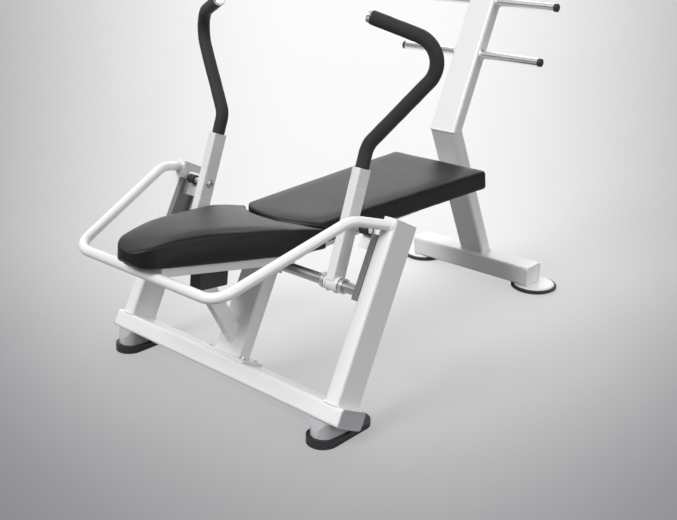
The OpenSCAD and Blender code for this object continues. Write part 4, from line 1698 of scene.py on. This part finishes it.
@dataclass
class Seating:
    """Seat pad, back pad, the spine under the back and the bolts that hold the pads."""

    layout: Layout
    rack: Rack
    nose: tuple[float, float] = (-0.305, -0.258)
    nose_half: float = 0.072
    rear_half: float = 0.168
    taper_y: float = 0.125
    seat_rear: float = 0.256
    gap: float = 0.003
    arc_r: float = 0.232
    back_front: float = 0.196
    back_len: float = 0.819
    back_half: tuple[float, float] = (0.155, 0.198)
    back_thick: float = 0.064
    corner: float = 0.018
    crown: tuple[tuple[float, float], ...] = (
        (-0.305, 0.494), (-0.265, 0.507), (-0.19, 0.515), (-0.12, 0.515),
        (-0.03, 0.505), (0.1, 0.484), (0.256, 0.452),
    )
    spine_size: tuple[float, float] = (0.05, 0.07)
    spine_start: float = 0.012
    spine_drop: float = 0.012
    support_y: tuple[float, ...] = (0.19, 0.69)
    support_bolt_x: tuple[float, ...] = (-0.105, -0.05, 0.05, 0.105)
    seat_bars: tuple[tuple[float, float], ...] = ((-0.068, -0.028), (-0.01, 0.03))
    rail_h: float = 0.028

    def build(self, shop: Workshop) -> None:
        """Builds every piece of the sub-assembly.

        Args:
            shop: the workshop that makes the pieces.
        """
        self.spine(shop)
        self.bolts(shop)
        bench = self.layout.bench()
        under = math.tan(math.radians(self.layout.seat_rise))
        nose = self.nose[0]

        def seat_floor(y: float) -> float:
            """Height of the seat's lower edge, raised at the nose."""
            flat = self.layout.seat_under - y * under + 0.001
            return flat + (0.0165 - 0.001) * max(0.0, 1.0 - (y - nose) / 0.02) ** 1.5

        def seat_crown(y: float) -> float:
            """Height of the seat's top."""
            return curve(self.crown, y) - 0.002

        Pad(
            "seat_pad", bench, self.seat_plan(), seat_floor, seat_crown, voxel=0.005, swell=0.006, depth=0.074
        ).build(shop)
        Pad(
            "back_pad", self.layout.back(), self.back_plan(),
            lambda y: 0.001, lambda y: self.back_thick - 0.003,
            voxel=0.0062, swell=0.006, depth=self.back_thick,
        ).build(shop)

    def seat_side(self, y: float) -> float:
        """Half-width of the seat along its tapered flank."""
        share = (y - self.nose[1]) / (self.taper_y - self.nose[1])
        return self.nose_half + (self.rear_half - self.nose_half) * share

    def seat_plan(self) -> Loop:
        """Outline of the seat, in the construction's frame.

        Returns:
            The outline.
        """
        deep = self.nose[1] - self.nose[0]
        radius = (self.nose_half**2 + deep**2) / (2 * deep)
        centre = (0.0, self.nose[0] + radius)
        spread = math.degrees(math.asin(self.nose_half / radius))
        points = arc(centre, radius, -90 - spread, -90 + spread, 20)
        cut_r = self.arc_r + self.gap
        cut_y = self.back_front + self.arc_r
        reach = math.degrees(math.asin(self.rear_half / cut_r))
        flank = Vector((self.rear_half, self.taper_y, 0))
        rear_y = min(self.seat_rear, cut_y - math.sqrt(cut_r**2 - self.rear_half**2))
        points += [flank]
        if rear_y == self.seat_rear:
            inner = math.sqrt(cut_r**2 - (cut_y - self.seat_rear) ** 2)
            reach = math.degrees(math.asin(inner / cut_r))
            points += [Vector((self.rear_half, self.seat_rear, 0))]
        points += arc((0.0, cut_y), cut_r, -90 + reach, -90 - reach, 24)
        if rear_y == self.seat_rear:
            points += [Vector((-self.rear_half, self.seat_rear, 0))]
        return points + [Vector((-self.rear_half, self.taper_y, 0))]

    def back_plan(self) -> Loop:
        """Outline of the back pad, in its own frame.

        Returns:
            The outline.
        """
        front, rear = self.back_half
        flare = (rear - front) / (self.back_len - 0.06)
        reach = 0.0
        while front + flare * (self.side_y(reach) - 0.06) > self.arc_r * math.sin(math.radians(reach)):
            reach += 0.5
        points = arc((0.0, self.arc_r), self.arc_r, -90 - reach, -90 + reach, 32)
        corner = (rear - self.corner, self.back_len - self.corner)
        points += arc(corner, self.corner, 0, 90, 6) + arc((-corner[0], corner[1]), self.corner, 90, 180, 6)
        return points

    def side_y(self, angle: float) -> float:
        """Distance behind the front edge of the point at an angle on its arc."""
        return self.arc_r * (1 - math.cos(math.radians(angle)))

    def spine(self, shop: Workshop) -> None:
        """Tube under the back pad, welded to the rack, with a plug in its front end.

        Args:
            shop: the workshop that makes the pieces.
        """
        wide, tall = self.spine_size
        back = self.layout.back()
        place = back @ moved(0, self.spine_start, -self.spine_drop - tall / 2) @ ALONG_Y
        tube = Shape.tube(wide, tall, 1.0, 0.0055).move(place)
        low = self.rack.lower_frame()
        joint = tube.slice(low @ Vector((0, 0, 0)), direction(low, (0, 1, 0)))[0]
        shop.piece("spine_tube", tube, "frame_paint", replaces=["spine_beam"])
        bead = Shape.bead(joint, -direction(low, (0, 1, 0)), 0.004)
        shop.piece("spine_weld", bead, "frame_paint", smooth=60)
        plug = Shape.tube(wide - 0.004, tall - 0.004, 0.0025, 0.004).round_edges(0.0008, 2)
        plug.move(back @ moved(0, self.spine_start - 0.0024, -self.spine_drop - tall / 2) @ ALONG_Y)
        shop.piece("spine_plug", plug, "black_plastic")

    def bolts(self, shop: Workshop) -> None:
        """Bolts and washers under both pads.

        Args:
            shop: the workshop that makes the pieces.
        """
        bolts = Shape()
        for y in self.support_y:
            for x in self.support_bolt_x:
                place = self.layout.back() @ moved(x, y, -self.spine_drop) @ turned("X", 180)
                bolts.add(Shape.hex_bolt(*BOLT).move(place @ turned("Z", 700 * x + 90 * y)))
        for low, high in self.seat_bars:
            for side in Side:
                x = side.value * (self.seat_side(low) - 0.06)
                place = self.layout.seat() @ moved(x, (low + high) / 2, -self.rail_h) @ turned("X", 180)
                bolts.add(Shape.hex_bolt(*BOLT).move(place @ turned("Z", 500 * x)))
        shop.piece("pad_bolt_heads", bolts, "zinc_hardware", replaces=["pad_bolts"])


# ---- pivot and grip arms ----


@dataclass
class Pivot:
    """Cross shaft of the arms with its set collars."""

    layout: Layout
    shaft_r: float = 0.015
    half: float = 0.393
    arm_x: float = 0.284
    clear: float = 0.0265
    collar_r: float = 0.021
    collar_w: float = 0.012
    groove_gap: float = 0.006

    def build(self, shop: Workshop) -> None:
        """Builds every piece of the sub-assembly.

        Args:
            shop: the workshop that makes the pieces.
        """
        place = self.layout.pivot()
        r = self.shaft_r
        grooves = (
            self.arm_x - self.clear - self.collar_w - self.groove_gap,
            self.arm_x + self.clear + self.collar_w + self.groove_gap,
        )
        line: list[tuple[float, float]] = []
        for at in grooves:
            line += [(r, at - 0.001), (r - 0.0009, at - 0.0008), (r - 0.0009, at + 0.0008), (r, at + 0.001)]
        line += [(r, self.half), (0.0, self.half)]
        shaft = Shape.lathe([(r_, -z) for r_, z in reversed(line)] + line, 56)
        shop.piece("shaft", shaft.move(place @ ALONG_X), "shaft_steel", replaces=["cross_shaft"])
        bore = r + 0.0001
        outer, wide = self.collar_r, self.collar_w
        ring = Shape.lathe([
            (bore, 0.0), (outer, 0.0), (outer, wide), (bore, wide), (bore, 0.0),
        ], 48).round_edges(0.001, 2)
        screw = Shape.lathe([
            (0.0, 0.0), (0.0034, 0.0), (0.0034, 0.0012), (0.0018, 0.0012), (0.0016, 0.0002), (0.0, 0.0002),
        ], 12)
        screw.move(moved(0, 0, wide / 2) @ turned("Y", 90) @ moved(0, 0, outer - 0.001))
        ring.add(screw)
        collars = Shape()
        for start, spin in ((self.arm_x - self.clear - wide, 25), (self.arm_x + self.clear, 70)):
            collars.add(ring.copy().move(place @ moved(start, 0, 0) @ ALONG_X @ turned("Z", spin)))
        ring.mesh.free()
        shop.piece("set_collars", collars.both_sides(), "zinc_hardware", replaces=["shaft_collars"])


@dataclass
class GripArm:
    """One swinging arm: tube, hub, bushes, bent foam grip, end cap and the stop's roller."""

    side: Side
    layout: Layout
    x: float = 0.284
    size: tuple[float, float] = (0.028, 0.05)
    foot: float = 0.008
    length: float = 0.312
    hub_r: float = 0.021
    hub_half: float = 0.023
    shaft_r: float = 0.015
    flange_t: float = 0.003
    stop_up: float = 0.16
    roller_r: float = 0.014
    roller_x: tuple[float, float] = (0.33, 0.358)
    straight: float = 0.063
    grip_out: tuple[float, float, float] = (0.498, 0.379, 0.967)
    grip_end: tuple[float, float, float] = (0.285, 0.279, 1.045)
    bends: tuple[float, float] = (0.07, 0.073)
    foam_r: float = 0.019
    cap_r: float = 0.018
    cap_len: float = 0.012
    place: Matrix = field(init=False)
    bench: Matrix = field(init=False)

    def build(self, shop: Workshop) -> None:
        """Builds every piece of the arm.

        Args:
            shop: the workshop that makes the pieces.
        """
        mirror = Matrix.Diagonal((self.side.value, 1, 1, 1))
        self.place = mirror @ self.layout.arm()
        self.bench = mirror @ self.layout.bench()
        self.beam(shop)
        self.bearing(shop)
        self.stop(shop)
        self.grip(shop)

    def add(
        self, shop: Workshop, part: str, shape: Shape, finish: str, node: str = ""
    ) -> bpy.types.Object:
        """Adds a piece of this arm, which may stand for a CAD node.

        Args:
            shop: the workshop that makes the pieces.
            part: the piece's name without its side.
            shape: its shape.
            finish: name of its finish.
            node: the CAD node that the piece replaces, if any.

        Returns:
            The piece.
        """
        word = self.side.word
        nodes = [f"{word}_{node}"] if node else []
        return shop.piece(f"{word}_{part}", shape, finish, self.side.body, nodes, 40.0)

    def beam(self, shop: Workshop) -> None:
        """Flat-sided tube with the beads that hold its hub.

        Args:
            shop: the workshop that makes the pieces.
        """
        tube = Shape.tube(*self.size, self.length - self.foot, 0.0048, 6)
        rims = [e for e in tube.mesh.edges if abs(e.verts[0].co.z - e.verts[1].co.z) < TINY]
        tube.bevel(rims, 0.0008, 2).move(self.place @ moved(self.x, 0, self.foot))
        self.add(shop, "arm_beam", tube, "arm_paint", "arm_tube")
        beads = Shape()
        for side in Side:
            normal = direction(self.place, (side.value, 0, 0))
            flat = self.x + side.value * self.size[0] / 2
            round_hub = arc((0, 0), self.hub_r, 0, 350, 35)
            circle = [self.place @ Vector((flat, point.x, point.y)) for point in round_hub]
            beads.add(Shape.bead(circle, normal, 0.003))
        self.add(shop, "hub_welds", beads, "arm_paint")

    def bearing(self, shop: Workshop) -> None:
        """Hub and its flanged bushes.

        Args:
            shop: the workshop that makes the pieces.
        """
        r, half = self.hub_r, self.hub_half
        place = self.place @ moved(self.x, 0, 0) @ ALONG_X
        hub = Shape.lathe([(0.0, -half), (r, -half), (r, half), (0.0, half)], 56).round_edges(0.0012, 2)
        self.add(shop, "hub_barrel", hub.move(place), "arm_paint", "arm_hub")
        bushes = Shape()
        for side in Side:
            ring = Shape.lathe([
                (self.shaft_r + 0.0001, half), (r - 0.001, half), (r - 0.001, half + self.flange_t),
                (self.shaft_r + 0.0001, half + self.flange_t), (self.shaft_r + 0.0001, half),
            ], 56).round_edges(0.0005, 2)
            bushes.add(ring.move(place @ Matrix.Diagonal((1, 1, side.value, 1))))
        self.add(shop, "bush_flanges", bushes, "bush_bronze", "hub_bushes")

    def stop(self, shop: Workshop) -> None:
        """Bolt across the tube, its spacer and the rubber roller.

        Args:
            shop: the workshop that makes the pieces.
        """
        at = self.place @ moved(0, 0, self.stop_up)
        inner, outer = self.x - self.size[0] / 2, self.x + self.size[0] / 2
        low, high = self.roller_x
        bolt = Shape.hex_bolt(0.011, 0.0065, 0.0015).move(at @ moved(inner, 0, 0) @ turned("Y", -90))
        pin = Shape.lathe([
            (0.0, inner), (0.006, inner), (0.006, outer), (0.009, outer), (0.009, low), (0.006, low),
            (0.006, high), (0.008, high), (0.008, high + 0.003), (0.0, high + 0.003),
        ], 32).round_edges(0.0006, 2)
        self.add(shop, "stop_pin", bolt.add(pin.move(at @ ALONG_X)), "zinc_hardware", "stop_bolt")
        r = self.roller_r
        middle = (low + high) / 2
        roller = Shape.lathe([
            (0.0062, low + 0.0004), (r, low + 0.0004), (r, middle - 0.001), (r - 0.0008, middle - 0.0006),
            (r - 0.0008, middle + 0.0006), (r, middle + 0.001), (r, high - 0.0004), (0.0062, high - 0.0004),
            (0.0062, low + 0.0004),
        ], 40).round_edges(0.0011, 3, 60)
        self.add(shop, "stop_wheel", roller.move(at @ ALONG_X), "black_rubber", "stop_roller")

    def grip(self, shop: Workshop) -> None:
        """Bent foam grip and the cap on its end.

        Args:
            shop: the workshop that makes the pieces.
        """
        out, end = self.bench @ Vector(self.grip_out), self.bench @ Vector(self.grip_end)
        heading = (end - out).normalized()
        tip = end - heading * self.cap_len / 2
        heights = (self.length, self.length + self.straight)
        path = [self.place @ Vector((self.x, 0, height)) for height in heights] + [out, tip]
        foam = Shape.sweep(path, self.bends, self.foam_r, 40, 0.012)
        foam.round_edges(0.004, 4, 60).ruffle(0.0007, 34.0)
        sleeve = self.add(shop, "foam_sleeve", foam, "foam", "foam_grip")
        r, long = self.cap_r, self.cap_len
        cap = Shape.lathe([
            (0.0, 0.0), (r, 0.0), (r, long * 0.55),
            (r * 0.93, long * 0.8), (r * 0.7, long * 0.95), (0.0, long),
        ], 48).round_edges(0.0006, 2, 25)
        cap.move(Matrix.Translation(tip) @ heading.to_track_quat("Z", "Y").to_matrix().to_4x4())
        self.add(shop, "end_dome", cap, "peg_chrome", "grip_cap")


# ---- studio ----


@dataclass
class Studio:
    """Pale floor, soft lights and the camera."""

    picture: tuple[int, int] = (677, 520)
    eye: tuple[float, float, float] = (1.9295, -2.2307, 1.3425)
    focal: float = 999.65
    centre: tuple[float, float] = (343.42, 164.74)
    azimuth: float = 41.3
    pitch: float = 15.11
    roll: float = 0.75
    floor_size: float = 60.0
    bright_way: tuple[float, float, float] = (-0.64, 0.72, 0.26)
    bright_edge: tuple[float, float] = (0.5, 0.98)
    horizon: tuple[float, float] = (-0.25, 0.1)
    overhead: tuple[float, float] = (0.6, 0.95)
    sky_bright: float = 1.7
    sky_dim: float = 0.13
    sky_top: float = 0.6
    ground: float = 0.1

    def build(self, floor_finish: Finish) -> None:
        """Builds the floor, the lights, the sky and the camera.

        Args:
            floor_finish: the floor's finish.
        """
        self.floor(floor_finish)
        self.sky()
        self.sun("key", (-0.15, -0.7, 0.69), 24.0, 2.4)
        self.sun("right_fill", (0.93, 0.1, 0.35), 40.0, 0.8)
        self.lamp("strip", (2.9, -1.9, 1.7), (0.0, 0.0, 0.6), 0.9, 13.0)
        self.camera()
        bpy.context.scene.view_settings.view_transform = "Standard"

    def floor(self, finish: Finish) -> None:
        """Large pale floor.

        Args:
            finish: the floor's finish.
        """
        shape = Shape()
        bmesh.ops.create_grid(shape.mesh, x_segments=1, y_segments=1, size=self.floor_size / 2)
        mesh = bpy.data.meshes.new("floor")
        shape.mesh.to_mesh(mesh)
        shape.mesh.free()
        mesh.materials.append(finish.material())
        floor = bpy.data.objects.new("floor", mesh)
        bpy.context.scene.collection.objects.link(floor)
        floor.visible_diffuse = False

    def sky(self) -> None:
        """Soft surround, brightest behind and to the left of the bench."""
        world = bpy.data.worlds.new("surround")
        bpy.context.scene.world = world
        world.use_nodes = True
        nodes = Nodes(world.node_tree, "Generated")
        way = Vector(self.bright_way).normalized()
        turn = nodes.node(
            "ShaderNodeVectorMath", {"operation": "DOT_PRODUCT"}, {0: nodes.place, 1: tuple(way)}
        )
        share = Wire(nodes, turn.outputs["Value"]).step(*self.bright_edge)
        height = nodes.axis(Axis.Z)
        base = nodes.blend(height.step(*self.horizon), (self.ground,) * 3, (self.sky_dim,) * 3)
        base = nodes.blend(height.step(*self.overhead), base, (self.sky_top,) * 3)
        colour = nodes.blend(share, base, (self.sky_bright,) * 3)
        glow = nodes.node("ShaderNodeBackground", inputs={"Color": colour, "Strength": 1.0})
        nodes.node("ShaderNodeOutputWorld", inputs={"Surface": glow.outputs["Background"]})

    def sun(self, name: str, way: Sequence[float], spread: float, power: float) -> None:
        """Adds a far, soft lamp.

        Args:
            name: its name.
            way: direction towards it.
            spread: how wide it looks, in degrees.
            power: its strength.
        """
        light = bpy.data.lights.new(name, "SUN")
        light.angle, light.energy = math.radians(spread), power
        lamp = bpy.data.objects.new(name, light)
        lamp.rotation_euler = Vector(way).to_track_quat("Z", "Y").to_euler()
        bpy.context.scene.collection.objects.link(lamp)

    def lamp(self, name: str, at: Sequence[float], aim: Sequence[float], size: float, power: float) -> None:
        """Adds a soft square lamp.

        Args:
            name: its name.
            at: its place.
            aim: point that it faces.
            size: its side.
            power: its power in watts.
        """
        light = bpy.data.lights.new(name, "AREA")
        light.shape, light.size, light.energy = "SQUARE", size, power
        lamp = bpy.data.objects.new(name, light)
        lamp.location = at
        lamp.rotation_euler = (Vector(at) - Vector(aim)).to_track_quat("Z", "Y").to_euler()
        bpy.context.scene.collection.objects.link(lamp)

    def camera(self) -> None:
        """Camera in front of the bench, to its right and above the seat."""
        turn, dip, roll = (math.radians(a) for a in (self.azimuth, self.pitch, self.roll))
        ahead = Vector((-math.sin(turn) * math.cos(dip), math.cos(turn) * math.cos(dip), -math.sin(dip)))
        across = Vector((math.cos(turn), math.sin(turn), 0))
        upward = across.cross(ahead)
        right = across * math.cos(roll) + upward * math.sin(roll)
        up = upward * math.cos(roll) - across * math.sin(roll)
        data = bpy.data.cameras.new("camera")
        camera = bpy.data.objects.new("camera", data)
        wide, high = self.picture
        data.sensor_width = 36.0
        data.lens = self.focal / wide * data.sensor_width
        data.shift_x = (wide / 2 - self.centre[0]) / wide
        data.shift_y = (self.centre[1] - high / 2) / wide
        data.clip_end = 200.0
        rows = Matrix((right, up, -ahead)).transposed().to_4x4()
        camera.matrix_world = Matrix.Translation(self.eye) @ rows
        bpy.context.scene.collection.objects.link(camera)
        bpy.context.scene.camera = camera


def main() -> None:
    """Builds the bench and its studio."""
    logging.basicConfig(level=logging.INFO, format="%(name)s: %(message)s")
    layout = Layout()
    rack = Rack(layout)
    shop = Workshop()
    shop.mix_finishes(FINISHES)
    Studio().build(PaleGround("floor", (0.86, 0.856, 0.853), 0.6))
    for assembly in (
        FrontFrame(layout), Feet(layout), rack, Pivot(layout),
        GripArm(Side.LEFT, layout), GripArm(Side.RIGHT, layout), Seating(layout, rack),
    ):
        assembly.build(shop)
    shop.dress_nodes()


if __name__ == "__main__":
    main()
